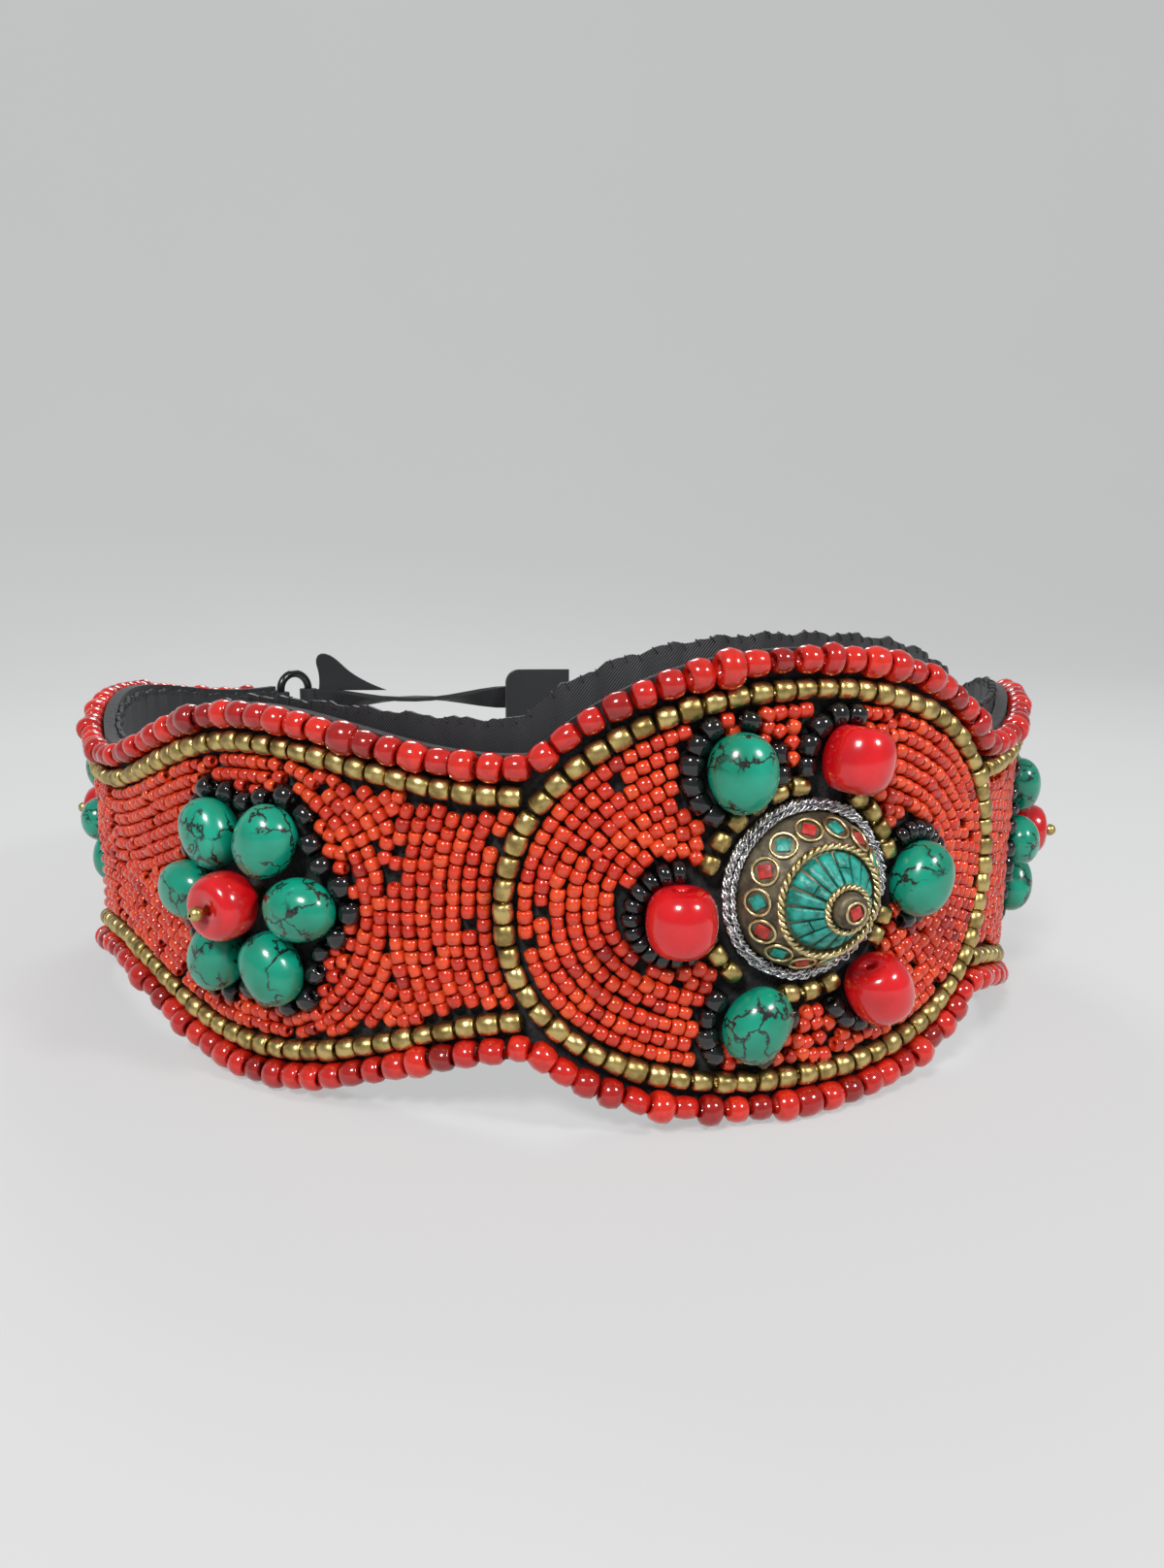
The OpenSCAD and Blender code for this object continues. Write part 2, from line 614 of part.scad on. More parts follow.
pin(2);  // right_outer_pin
rosette_coral(2);  // right_outer_coral
left_tab();
loop_ring();
strap();
hook_pad();
strap_tail();
right_tab();
pile_pad();
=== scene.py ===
"""Looks of the beaded headband: cloth, strung beads, stones, medallion and closure, round the CAD frame."""
import math
import random

import bpy
import numpy as np
from mathutils import Matrix, Vector


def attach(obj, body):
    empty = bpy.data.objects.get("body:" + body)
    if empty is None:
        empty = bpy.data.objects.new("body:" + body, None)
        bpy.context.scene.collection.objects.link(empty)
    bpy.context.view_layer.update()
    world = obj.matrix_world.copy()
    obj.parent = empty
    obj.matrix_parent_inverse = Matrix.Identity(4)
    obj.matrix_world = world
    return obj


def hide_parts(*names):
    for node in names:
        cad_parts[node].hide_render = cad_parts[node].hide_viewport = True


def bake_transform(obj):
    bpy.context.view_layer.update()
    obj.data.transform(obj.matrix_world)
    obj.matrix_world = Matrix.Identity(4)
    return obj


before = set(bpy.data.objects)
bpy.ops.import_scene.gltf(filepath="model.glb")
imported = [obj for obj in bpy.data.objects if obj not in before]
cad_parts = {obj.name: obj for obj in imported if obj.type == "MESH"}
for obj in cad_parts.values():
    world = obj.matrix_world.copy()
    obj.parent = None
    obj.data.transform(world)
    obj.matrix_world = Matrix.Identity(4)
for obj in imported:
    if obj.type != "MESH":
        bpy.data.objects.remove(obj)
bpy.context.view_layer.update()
random.seed(7)
chance = np.random.default_rng(7)

# ---------------------------------------------------------------- the band's own measures, in millimetres
MM = 0.001
CENTRE_RADIUS, LEFT_RADIUS, RIGHT_RADIUS, OUTER_RADIUS = 85.0, 120.0, 82.0, 82.0
OVAL_LEN, OVAL_H, OVAL_POWER = 43.6, 29.2, 2.2
INNER_S, INNER_H, INNER_WAIST_H = 86.0, 24.4, 16.4
OUTER_SEAM_S, OUTER_WAIST_H, OUTER_H, OUTER_END_H = 132.0, 14.4, 22.4, 18.0
LOBE_END_S = 232.0
OUTER_S = (OUTER_SEAM_S + LOBE_END_S) / 2
LINING_T, GROUND_T = 0.8, 2.2
SEED_D, BRASS_D, EDGE_D, BLACK_D = 2.3, 3.3, 4.3, 3.5
ROW_STEP = 4.2
TRIM = 6.7
SEAM_EDGE = 1.75
SEAM_S = OVAL_LEN + SEAM_EDGE
SHIFT_X, SHIFT_Y = 11.07, 2.14
CENTRE_Z = OVAL_H + TRIM
LOBES = {"centre": 0, "left_inner": -1, "left_outer": -2, "right_inner": 1, "right_outer": 2}


def side_radius(s):
    return LEFT_RADIUS if s < 0 else RIGHT_RADIUS


def turn(s):
    """The way the band's face looks at s, in radians; 0 at the front."""
    a = abs(s)
    arcs = (min(a, SEAM_S) / CENTRE_RADIUS
            + max(0, min(a, OUTER_SEAM_S) - SEAM_S) / side_radius(s)
            + max(0, a - OUTER_SEAM_S) / OUTER_RADIUS)
    return math.copysign(arcs, s)


def out(angle):
    return np.array([math.sin(angle), -math.cos(angle)])


def swell(start, stop, x):
    return start + (stop - start) * (1 - math.cos(math.pi * x)) / 2


def middle_z(s):
    a = abs(s)
    inner, outer = INNER_H - OVAL_H, OUTER_H - OVAL_H
    if a < INNER_S:
        return CENTRE_Z + swell(0, inner, a / INNER_S)
    return CENTRE_Z + swell(inner, outer, min(1, (a - INNER_S) / (OUTER_S - INNER_S)))


def on_band(s, z, o):
    """A point of the band: s along it, z above its middle line, o out from the cloth's face."""
    side = math.copysign(1, s)
    middle = np.zeros(2)
    radius = CENTRE_RADIUS
    if abs(s) > SEAM_S:
        middle = (CENTRE_RADIUS - side_radius(s)) * out(turn(side * SEAM_S))
        radius = side_radius(s)
    if abs(s) > OUTER_SEAM_S:
        middle = middle + (radius - OUTER_RADIUS) * out(turn(side * OUTER_SEAM_S))
        radius = OUTER_RADIUS
    x, y = middle + (radius + o) * out(turn(s))
    return np.array([x + SHIFT_X, y + SHIFT_Y, middle_z(s) + z]) * MM


def axes_at(s):
    """Along the band, up and outwards at s."""
    t = turn(s)
    return (np.array([math.cos(t), math.sin(t), 0]), np.array([0, 0, 1.0]),
            np.array([math.sin(t), -math.cos(t), 0]))


def round_off(x):
    return max(0.0, 1 - abs(x) ** OVAL_POWER) ** (1 / OVAL_POWER)


def oval_h(s, e):
    return (OVAL_H + e) * round_off(s / (OVAL_LEN + e))


def oval_s(z, e):
    return (OVAL_LEN + e) * round_off(z / (OVAL_H + e))


def half_h(s, e, w=0.0):
    """Half height of the band at s, e beyond its brass rows, its waists filled by w."""
    a = abs(s)
    neck = oval_s(INNER_WAIST_H + e + w, e)
    if a < neck:
        return oval_h(a, e)
    if a < INNER_S:
        return e + swell(INNER_WAIST_H + w, INNER_H, (a - neck) / (INNER_S - neck))
    if a < OUTER_SEAM_S:
        return e + swell(INNER_H, OUTER_WAIST_H + w, (a - INNER_S) / (OUTER_SEAM_S - INNER_S))
    if a < OUTER_S:
        return e + swell(OUTER_WAIST_H + w, OUTER_H, (a - OUTER_SEAM_S) / (OUTER_S - OUTER_SEAM_S))
    return e + swell(OUTER_H, OUTER_END_H, (a - OUTER_S) / (LOBE_END_S - OUTER_S))


def crest(lobe):
    return (0, INNER_S, OUTER_S)[abs(lobe)] * (1 if lobe > 0 else -1)


def seam_s(z):
    """Where the cloth of the centre lobe ends beside its brass column, at height z."""
    return oval_s(min(abs(z), INNER_WAIST_H + SEAM_EDGE), SEAM_EDGE)


# ---------------------------------------------------------------- materials
def new_material(name):
    material = bpy.data.materials.new(name)
    material.use_nodes = True
    nodes = material.node_tree.nodes
    shader = next(n for n in nodes if n.type == "BSDF_PRINCIPLED")
    return material, nodes, material.node_tree.links, shader


def noise(nodes, links, scale, detail=3.0, stretch=None):
    coords = nodes.new("ShaderNodeTexCoord")
    texture = nodes.new("ShaderNodeTexNoise")
    texture.inputs["Scale"].default_value = scale
    texture.inputs["Detail"].default_value = detail
    source = coords.outputs["Object"]
    if stretch:
        mapping = nodes.new("ShaderNodeMapping")
        mapping.inputs["Scale"].default_value = stretch
        links.new(source, mapping.inputs["Vector"])
        source = mapping.outputs["Vector"]
    links.new(source, texture.inputs["Vector"])
    return texture.outputs["Fac"]


def ramp(nodes, links, value, stops):
    node = nodes.new("ShaderNodeValToRGB")
    elements = node.color_ramp.elements
    while len(elements) < len(stops):
        elements.new(0.5)
    for element, (place, colour) in zip(elements, stops):
        element.position = place
        element.color = (*colour, 1)
    links.new(value, node.inputs["Fac"])
    return node.outputs["Color"]


def bump(nodes, links, shader, height, strength, depth):
    node = nodes.new("ShaderNodeBump")
    node.inputs["Strength"].default_value = strength
    node.inputs["Distance"].default_value = depth
    links.new(height, node.inputs["Height"])
    links.new(node.outputs["Normal"], shader.inputs["Normal"])


def mix(nodes, links, amount, first, second):
    node = nodes.new("ShaderNodeMix")
    node.data_type = "RGBA"
    links.new(amount, node.inputs["Factor"])
    links.new(first, node.inputs[6])
    links.new(second, node.inputs[7])
    return node.outputs[2]


def bead_glass(name, tints, rough, coat, grain=0.0):
    """Opaque glass whose colour changes from bead to bead, by the attribute called bead."""
    material, nodes, links, shader = new_material(name)
    attribute = nodes.new("ShaderNodeAttribute")
    attribute.attribute_name = "bead"
    tint = ramp(nodes, links, attribute.outputs["Fac"], tints)
    mottle = ramp(nodes, links, noise(nodes, links, 900, 4), [(0.3, (0.72, 0.68, 0.66)), (0.62, (1, 1, 1))])
    multiply = nodes.new("ShaderNodeMix")
    multiply.data_type = "RGBA"
    multiply.blend_type = "MULTIPLY"
    multiply.inputs["Factor"].default_value = 1
    links.new(tint, multiply.inputs[6])
    links.new(mottle, multiply.inputs[7])
    links.new(multiply.outputs[2], shader.inputs["Base Color"])
    shader.inputs["Roughness"].default_value = rough
    shader.inputs["Coat Weight"].default_value = coat
    shader.inputs["Coat Roughness"].default_value = 0.08
    if grain:
        bump(nodes, links, shader, noise(nodes, links, 2200, 2), grain, 0.00008)
    return material


def worn_metal(name, bright, dark, scale, rough, metallic=1.0):
    material, nodes, links, shader = new_material(name)
    patina = noise(nodes, links, scale, 5)
    links.new(ramp(nodes, links, patina, [(0.36, dark), (0.58, bright)]), shader.inputs["Base Color"])
    shine = nodes.new("ShaderNodeMapRange")
    shine.inputs["To Min"].default_value = rough + 0.22
    shine.inputs["To Max"].default_value = rough
    links.new(patina, shine.inputs["Value"])
    links.new(shine.outputs["Result"], shader.inputs["Roughness"])
    shader.inputs["Metallic"].default_value = metallic
    bump(nodes, links, shader, noise(nodes, links, scale * 4, 3), 0.35, 0.00012)
    return material


def turquoise_stone(name):
    """Green turquoise with a thin dark matrix that runs through it in broken veins."""
    material, nodes, links, shader = new_material(name)
    coords = nodes.new("ShaderNodeTexCoord")
    warp = nodes.new("ShaderNodeTexNoise")
    warp.inputs["Scale"].default_value = 520
    warp.inputs["Detail"].default_value = 4
    links.new(coords.outputs["Object"], warp.inputs["Vector"])
    shift = nodes.new("ShaderNodeVectorMath")
    shift.operation = "MULTIPLY_ADD"
    shift.inputs[1].default_value = (0.0045, 0.0045, 0.0045)
    links.new(warp.outputs["Color"], shift.inputs[0])
    links.new(coords.outputs["Object"], shift.inputs[2])
    cells = nodes.new("ShaderNodeTexVoronoi")
    cells.feature = "DISTANCE_TO_EDGE"
    cells.inputs["Scale"].default_value = 210
    links.new(shift.outputs["Vector"], cells.inputs["Vector"])
    vein = nodes.new("ShaderNodeMapRange")
    vein.inputs["From Min"].default_value = 0.02
    vein.inputs["From Max"].default_value = 0.075
    vein.inputs["To Min"].default_value = 1
    vein.inputs["To Max"].default_value = 0
    links.new(cells.outputs["Distance"], vein.inputs["Value"])
    breaks = nodes.new("ShaderNodeMapRange")
    breaks.inputs["From Min"].default_value = 0.45
    breaks.inputs["From Max"].default_value = 0.5
    links.new(noise(nodes, links, 150, 2), breaks.inputs["Value"])
    both = nodes.new("ShaderNodeMath")
    both.operation = "MULTIPLY"
    links.new(vein.outputs["Result"], both.inputs[0])
    links.new(breaks.outputs["Result"], both.inputs[1])
    green = ramp(nodes, links, noise(nodes, links, 120, 3),
                 [(0.3, (0.001, 0.20, 0.115)), (0.7, (0.006, 0.36, 0.235))])
    matrix = nodes.new("ShaderNodeRGB")
    matrix.outputs[0].default_value = (0.012, 0.012, 0.010, 1)
    links.new(mix(nodes, links, both.outputs[0], green, matrix.outputs[0]), shader.inputs["Base Color"])
    shader.inputs["Roughness"].default_value = 0.24
    shader.inputs["Coat Weight"].default_value = 0.35
    shader.inputs["Coat Roughness"].default_value = 0.12
    return material


def coral_stone(name):
    material, nodes, links, shader = new_material(name)
    red = ramp(nodes, links, noise(nodes, links, 210, 4),
               [(0.32, (0.50, 0.002, 0.006)), (0.66, (0.70, 0.006, 0.010))])
    links.new(red, shader.inputs["Base Color"])
    shader.inputs["Roughness"].default_value = 0.2
    shader.inputs["Coat Weight"].default_value = 0.6
    shader.inputs["Coat Roughness"].default_value = 0.05
    bump(nodes, links, shader, noise(nodes, links, 420, 2), 0.12, 0.0002)
    return material


def inlay(name, light, dark):
    """Crushed stone set in the dome, cracked and uneven."""
    material, nodes, links, shader = new_material(name)
    links.new(ramp(nodes, links, noise(nodes, links, 900, 5), [(0.34, dark), (0.6, light)]),
              shader.inputs["Base Color"])
    shader.inputs["Roughness"].default_value = 0.38
    bump(nodes, links, shader, noise(nodes, links, 1500, 4), 0.5, 0.0002)
    return material


def woven(name, tone, shine, rib, rough, sheen):
    """Black cloth whose ribs run across the piece's own UV map."""
    material, nodes, links, shader = new_material(name)
    uv = nodes.new("ShaderNodeUVMap")
    uv.uv_map = "cloth"
    mapping = nodes.new("ShaderNodeMapping")
    mapping.inputs["Rotation"].default_value = (0, 0, math.radians(38))
    links.new(uv.outputs["UV"], mapping.inputs["Vector"])
    ribs = nodes.new("ShaderNodeTexWave")
    ribs.inputs["Scale"].default_value = rib
    ribs.inputs["Distortion"].default_value = 0.8
    ribs.inputs["Detail"].default_value = 2
    ribs.inputs["Detail Scale"].default_value = 3
    links.new(mapping.outputs["Vector"], ribs.inputs["Vector"])
    colour = ramp(nodes, links, ribs.outputs["Fac"], [(0.25, tone), (0.8, shine)])
    links.new(colour, shader.inputs["Base Color"])
    shader.inputs["Roughness"].default_value = rough
    shader.inputs["Sheen Weight"].default_value = sheen
    shader.inputs["Sheen Roughness"].default_value = 0.4
    bump(nodes, links, shader, ribs.outputs["Fac"], 0.5, 0.00015)
    return material


def felt(name):
    material, nodes, links, shader = new_material(name)
    colour = ramp(nodes, links, noise(nodes, links, 1400, 6),
                  [(0.35, (0.006, 0.006, 0.007)), (0.7, (0.03, 0.03, 0.033))])
    links.new(colour, shader.inputs["Base Color"])
    shader.inputs["Roughness"].default_value = 0.95
    shader.inputs["Sheen Weight"].default_value = 0.2
    bump(nodes, links, shader, noise(nodes, links, 2600, 4), 0.8, 0.0003)
    return material


SEED_RED = bead_glass("seed_red", [(0.0, (0.30, 0.010, 0.005)), (0.12, (0.56, 0.022, 0.006)),
                                   (0.6, (0.70, 0.040, 0.008)), (1.0, (0.80, 0.075, 0.014))], 0.24, 0.4)
EDGE_RED = bead_glass("edge_red", [(0.0, (0.26, 0.006, 0.004)), (0.5, (0.55, 0.012, 0.007)),
                                   (1.0, (0.72, 0.024, 0.010))], 0.16, 0.6)
BLACK_GLASS = bead_glass("black_glass", [(0.0, (0.003, 0.003, 0.003)), (1.0, (0.010, 0.010, 0.011))],
                         0.12, 0.5)
BRASS = worn_metal("old_brass", (0.66, 0.50, 0.19), (0.30, 0.21, 0.07), 420, 0.24)
WIRE = worn_metal("bright_wire", (0.80, 0.66, 0.36), (0.45, 0.35, 0.16), 700, 0.22)
DARK_BRASS = worn_metal("dark_brass", (0.20, 0.165, 0.105), (0.075, 0.062, 0.045), 520, 0.4, 0.75)
TINSEL = worn_metal("tinsel", (0.90, 0.90, 0.92), (0.22, 0.22, 0.24), 1300, 0.18)
TURQUOISE = turquoise_stone("turquoise")
CORAL = coral_stone("coral")
CORAL_CHIP = inlay("coral_inlay", (0.55, 0.035, 0.025), (0.22, 0.012, 0.012))
TURQUOISE_CHIP = inlay("turquoise_inlay", (0.02, 0.36, 0.29), (0.006, 0.14, 0.11))
SATIN = woven("satin", (0.008, 0.009, 0.010), (0.034, 0.036, 0.040), 900, 0.48, 0.15)
TAPE = woven("tape", (0.006, 0.006, 0.007), (0.016, 0.017, 0.019), 650, 0.7, 0.12)
THREAD = woven("thread", (0.006, 0.006, 0.006), (0.02, 0.02, 0.02), 900, 0.8, 0.2)
FELT = felt("felt")
GLOSS_BLACK = bead_glass("gloss_black", [(0.0, (0.008, 0.008, 0.009)), (1.0, (0.012, 0.012, 0.013))],
                         0.22, 0.3)


# ---------------------------------------------------------------- making pieces
def deselect():
    if bpy.context.object and bpy.context.object.mode != "OBJECT":
        bpy.ops.object.mode_set(mode="OBJECT")
    bpy.ops.object.select_all(action="DESELECT")


def select_only(obj):
    deselect()
    obj.select_set(True)
    bpy.context.view_layer.objects.active = obj


def arrays_of(obj):
    """The vertices and faces of a form, which is then thrown away."""
    verts = np.array([v.co for v in obj.data.vertices])
    faces = [tuple(p.vertices) for p in obj.data.polygons]
    bpy.data.objects.remove(obj, do_unlink=True)
    return verts, faces


def apply_all(obj):
    select_only(obj)
    for modifier in list(obj.modifiers):
        bpy.ops.object.modifier_apply(modifier=modifier.name)


def ring_form(major, minor, around, across):
    """A plain ring; its radii are in mm."""
    deselect()
    bpy.ops.mesh.primitive_torus_add(major_segments=around, minor_segments=across,
                                     major_radius=major * MM, minor_radius=minor * MM)
    return arrays_of(bpy.context.object)


def face_outwards(obj, merge=None):
    """Merges what lies closer than merge, in metres, then turns every face outwards."""
    select_only(obj)
    bpy.ops.object.mode_set(mode="EDIT")
    bpy.ops.mesh.select_all(action="SELECT")
    if merge:
        bpy.ops.mesh.remove_doubles(threshold=merge)
    bpy.ops.mesh.normals_make_consistent(inside=False)
    bpy.ops.object.mode_set(mode="OBJECT")


def add_piece(name, verts, faces, material, smooth=True, values=None):
    mesh = bpy.data.meshes.new(name)
    mesh.from_pydata([tuple(v) for v in verts], [], faces)
    mesh.update()
    mesh.materials.append(material)
    mesh.polygons.foreach_set("use_smooth", [smooth] * len(mesh.polygons))
    if values is not None:
        attribute = mesh.attributes.new("bead", "FLOAT", "POINT")
        attribute.data.foreach_set("value", np.asarray(values, np.float32))
    obj = bpy.data.objects.new(name, mesh)
    bpy.context.scene.collection.objects.link(obj)
    return obj


def finish_piece(obj, body, slot, *nodes):
    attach(obj, body)
    if nodes:
        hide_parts(*nodes)
    return obj


def join_copies(name, form, places, material, values=None, smooth=True):
    """One piece from copies of a form, each set in its place by a 4 by 4 matrix."""
    verts, faces = form
    count = len(verts)
    homogeneous = np.hstack([verts, np.ones((count, 1))])
    all_verts = np.vstack([(homogeneous @ np.asarray(place).T)[:, :3] for place in places])
    all_faces = [tuple(i + k * count for i in face) for k in range(len(places)) for face in faces]
    tints = None if values is None else np.repeat(values, count)
    return add_piece(name, all_verts, all_faces, material, smooth, tints)


def bead_form(outer, bore, length, around, squareness):
    """A drilled bead of outer and bore diameters in mm, its hole along Z, its sides from round to square."""
    deselect()
    across = 8
    bpy.ops.mesh.primitive_torus_add(major_segments=around, minor_segments=across,
                                     major_radius=1, minor_radius=0.5)
    obj = bpy.context.object
    wall = (outer - bore) / 4
    middle = (outer + bore) / 4
    for vertex in obj.data.vertices:
        flat = math.hypot(vertex.co.x, vertex.co.y)
        c, q = (flat - 1) / 0.5, vertex.co.z / 0.5
        sharp = 1 - 0.5 * squareness
        c = math.copysign(abs(c) ** sharp, c)
        q = math.copysign(abs(q) ** sharp, q)
        radius = (middle + wall * c) * MM
        vertex.co = Vector((vertex.co.x / flat * radius, vertex.co.y / flat * radius, q * length / 2 * MM))
    return arrays_of(obj)


def band_matrix(s, z, o, angle=0.0, scale=(1, 1, 1), tilt=(0, 0)):
    """Puts a form on the band with its Z along the thread, which runs at angle to the band."""
    along, up, outward = axes_at(s)
    thread = math.cos(angle + tilt[0]) * along + math.sin(angle + tilt[0]) * up
    thread = thread * math.cos(tilt[1]) + outward * math.sin(tilt[1])
    first = np.cross(outward, thread)
    first /= np.linalg.norm(first)
    second = np.cross(thread, first)
    place = np.eye(4)
    place[:3, 0], place[:3, 1], place[:3, 2] = first * scale[0], second * scale[1], thread * scale[2]
    place[:3, 3] = on_band(s, z, o)
    return place


def standing_matrix(s, z, o, spin=0.0, scale=(1, 1, 1)):
    """Puts a form on the band with its Z outwards and its X at spin to the band."""
    along, up, outward = axes_at(s)
    place = np.eye(4)
    place[:3, 0] = (math.cos(spin) * along + math.sin(spin) * up) * scale[0]
    place[:3, 1] = (-math.sin(spin) * along + math.cos(spin) * up) * scale[1]
    place[:3, 2] = outward * scale[2]
    place[:3, 3] = on_band(s, z, o)
    return place


# ---------------------------------------------------------------- rows of beads
def thread_beads(route, pitch, jitter=0.0):
    """Beads along a route of (s, z) points: [s, z, angle of the thread] for each."""
    route = np.asarray(route, float)
    steps = np.hypot(*np.diff(route, axis=0).T)
    reach = np.concatenate([[0], np.cumsum(steps)])
    count = max(1, round(reach[-1] / pitch))
    spots = []
    for i in range(count):
        x = (i + 0.5) * reach[-1] / count + chance.normal(0, jitter)
        s, z = np.interp(x, reach, route[:, 0]), np.interp(x, reach, route[:, 1])
        s2, z2 = np.interp(x + 0.4, reach, route[:, 0]), np.interp(x + 0.4, reach, route[:, 1])
        s1, z1 = np.interp(x - 0.4, reach, route[:, 0]), np.interp(x - 0.4, reach, route[:, 1])
        spots.append((s, z, math.atan2(z2 - z1, s2 - s1)))
    return spots


def oval_route(e, start, stop, count=120):
    """Part of an oval e beyond the brass outline, between two angles in degrees."""
    route = []
    for i in range(count + 1):
        a = math.radians(start + (stop - start) * i / count)
        c, q = math.cos(a), math.sin(a)
        route.append(((OVAL_LEN + e) * math.copysign(abs(c) ** (2 / OVAL_POWER), c),
                      (OVAL_H + e) * math.copysign(abs(q) ** (2 / OVAL_POWER), q)))
    return route


def edge_route(first, last, e, edge, count=90):
    return [(s, edge * half_h(s, e)) for s in np.linspace(first, last, count)]


def beads_on(name, spots, form, size, material, spread, body, slot, node, lift=0.1, oval=0.05, wobble=0.06,
             dark=0.0):
    """Strings beads at the spots; spread is how much their sizes differ, dark how many are dark."""
    places, tints = [], []
    for s, z, angle in spots:
        grow = 1 + chance.normal(0, spread)
        scale = (grow * (1 + chance.normal(0, oval)), grow, 1 + chance.normal(0, spread))
        tilt = chance.normal(0, wobble, 2)
        places.append(band_matrix(s, z, size / 2 * grow + lift, angle, scale, tilt))
        tints.append(chance.uniform(0, 0.15) if chance.random() < dark else chance.uniform(0.2, 1))
    piece = join_copies(name, form, places, material, tints)
    return finish_piece(piece, body, slot, node)


MEDALLION_Z = -0.5
COLLAR_R, COLLAR_D = 15.7, 3.0
CORAL_D = 10.2
NUGGET = (12.0, 10.0, 8.4)
CENTRE_CORALS = [(-19.4, -2.0, 90), (5.4, 19.3, 80), (11.6, -15.8, 120)]
CENTRE_NUGGETS = [(-11.5, 18.2, 100), (20.0, 0.4, 60), (-8.0, -19.0, 60)]
PETAL_RING_R = 11.6


def ring_route(s, z, radius_a, radius_b, spin, start, stop, count=40):
    """Part of an ellipse round a stone; spin and both ends are in degrees."""
    route = []
    for i in range(count + 1):
        a = math.radians(start + (stop - start) * i / count - spin)
        x, y = radius_a * math.cos(a), radius_b * math.sin(a)
        t = math.radians(spin)
        route.append((s + x * math.cos(t) - y * math.sin(t), z + x * math.sin(t) + y * math.cos(t)))
    return route


def centre_strings():
    """Black beads round the centre stones, thin ones beside two of the stones and full ones elsewhere."""
    coral_r = 6.3
    nugget_a, nugget_b = NUGGET[0] / 2 + 1.3, NUGGET[1] / 2 + 1.4
    thin, full = 1.95, 3.0
    routes = [(CENTRE_CORALS[0], coral_r, coral_r, 62, 298, thin),
              (CENTRE_CORALS[1], coral_r, coral_r, 62, 205, full),
              (CENTRE_CORALS[1], coral_r, coral_r, 292, 335, full),
              (CENTRE_CORALS[2], coral_r, coral_r, 172, 300, full),
              (CENTRE_CORALS[2], coral_r, coral_r, 62, 112, full),
              (CENTRE_NUGGETS[0], nugget_a, nugget_b, 62, 252, full),
              (CENTRE_NUGGETS[0], nugget_a, nugget_b, -20, 30, full),
              (CENTRE_NUGGETS[1], nugget_a, nugget_b, 10, 152, thin),
              (CENTRE_NUGGETS[1], nugget_a, nugget_b, -125, -55, full),
              (CENTRE_NUGGETS[2], nugget_a, nugget_b, 112, 305, full),
              (CENTRE_NUGGETS[2], nugget_a, nugget_b, -20, 25, full)]
    spots = []
    for (s, z, spin), a, b, start, stop, pitch in routes:
        for spot in thread_beads(ring_route(s, z, a, b, spin, start, stop), pitch):
            inside = abs(spot[1]) < half_h(spot[0], 0) - 3.2
            clear = math.hypot(spot[0], spot[1] - MEDALLION_Z) > COLLAR_R + 2.6
            apart = all(math.hypot(spot[0] - t[0], spot[1] - t[1]) > 0.8 * pitch for t, _ in spots)
            if inside and clear and apart:
                spots.append((spot, pitch))
    return spots


def rosette_string(lobe):
    """Black beads nestled between the petals' tips."""
    spots = []
    for i in range(25):
        a = math.radians(-160 + 13.2 * i)
        radius = 16.9 + 1.8 * math.cos(6 * a)
        side = 1 if lobe < 0 else -1
        s, z = crest(lobe) + side * radius * math.cos(a), radius * math.sin(a)
        spots.append((s, z, a + math.pi / 2))
    return spots


SEED_REACH, ROW_GAP, FILL_GAP = 0.95, 0.88, 0.8


def seed_spots(lobe, obstacles):
    """Seed beads: rows that follow the outline, the columns and the stones, wherever there is room."""
    across, along = 2.28, 2.0
    rim = BRASS_D / 2 + SEED_D / 2 + 0.15
    routes = []
    if lobe == 0:
        routes = [oval_route(-rim - across * k, 90, 450) for k in range(12)]
    else:
        side = 1 if lobe > 0 else -1
        top = lambda first, last, k, edge: edge_route(side * first, side * last, -rim - across * k, edge)
        if abs(lobe) == 1:
            routes += [[(side * oval_s(z, rim + across * k), z)
                        for z in np.linspace(-INNER_WAIST_H - 3, INNER_WAIST_H + 3, 60)] for k in range(7)]
            routes += [ring_route(side * INNER_S, 0, 21.3 + across * k, 20.3 + across * k, 0,
                                  *((-75, 75) if side < 0 else (105, 255))) for k in range(8)]
            first, last = SEAM_S + 1, OUTER_SEAM_S
        else:
            first, last = OUTER_SEAM_S, LOBE_END_S - rim
        routes += [top(first, last, k, edge) for k in range(11) for edge in (1, -1)]
    taken, kept = np.array(obstacles, float).reshape(-1, 3), []
    for route in routes:
        for s, z, angle in thread_beads(route, along, 0.08):
            if not room_for_seed(lobe, s, z, rim):
                continue
            if lobe == 0 and abs(s) < 15:
                s, z = s + chance.normal(0, 0.25), z + chance.normal(0, 0.25)
                angle += chance.normal(0, 0.5)
            gaps = np.hypot(taken[:, 0] - s, taken[:, 1] - z) - taken[:, 2]
            if gaps.min() > ROW_GAP:
                kept.append((s, z, angle))
                taken = np.vstack([taken, [s, z, SEED_REACH]])
    return kept + fill_gaps(lobe, kept, taken, rim)


def room_for_seed(lobe, s, z, rim):
    """True if a seed at (s, z) stays inside the lobe's brass rows and seams."""
    if lobe == 0:
        return (abs(s) / (OVAL_LEN - rim)) ** OVAL_POWER + (abs(z) / (OVAL_H - rim)) ** OVAL_POWER < 1.01
    if lobe * s < 0 or abs(z) > half_h(s, -rim) + 0.1:
        return False
    if abs(lobe) == 1:
        return oval_s(z, rim) - 0.2 < abs(s) < OUTER_SEAM_S - 1.2
    return OUTER_SEAM_S + 1.0 < abs(s) < LOBE_END_S - rim


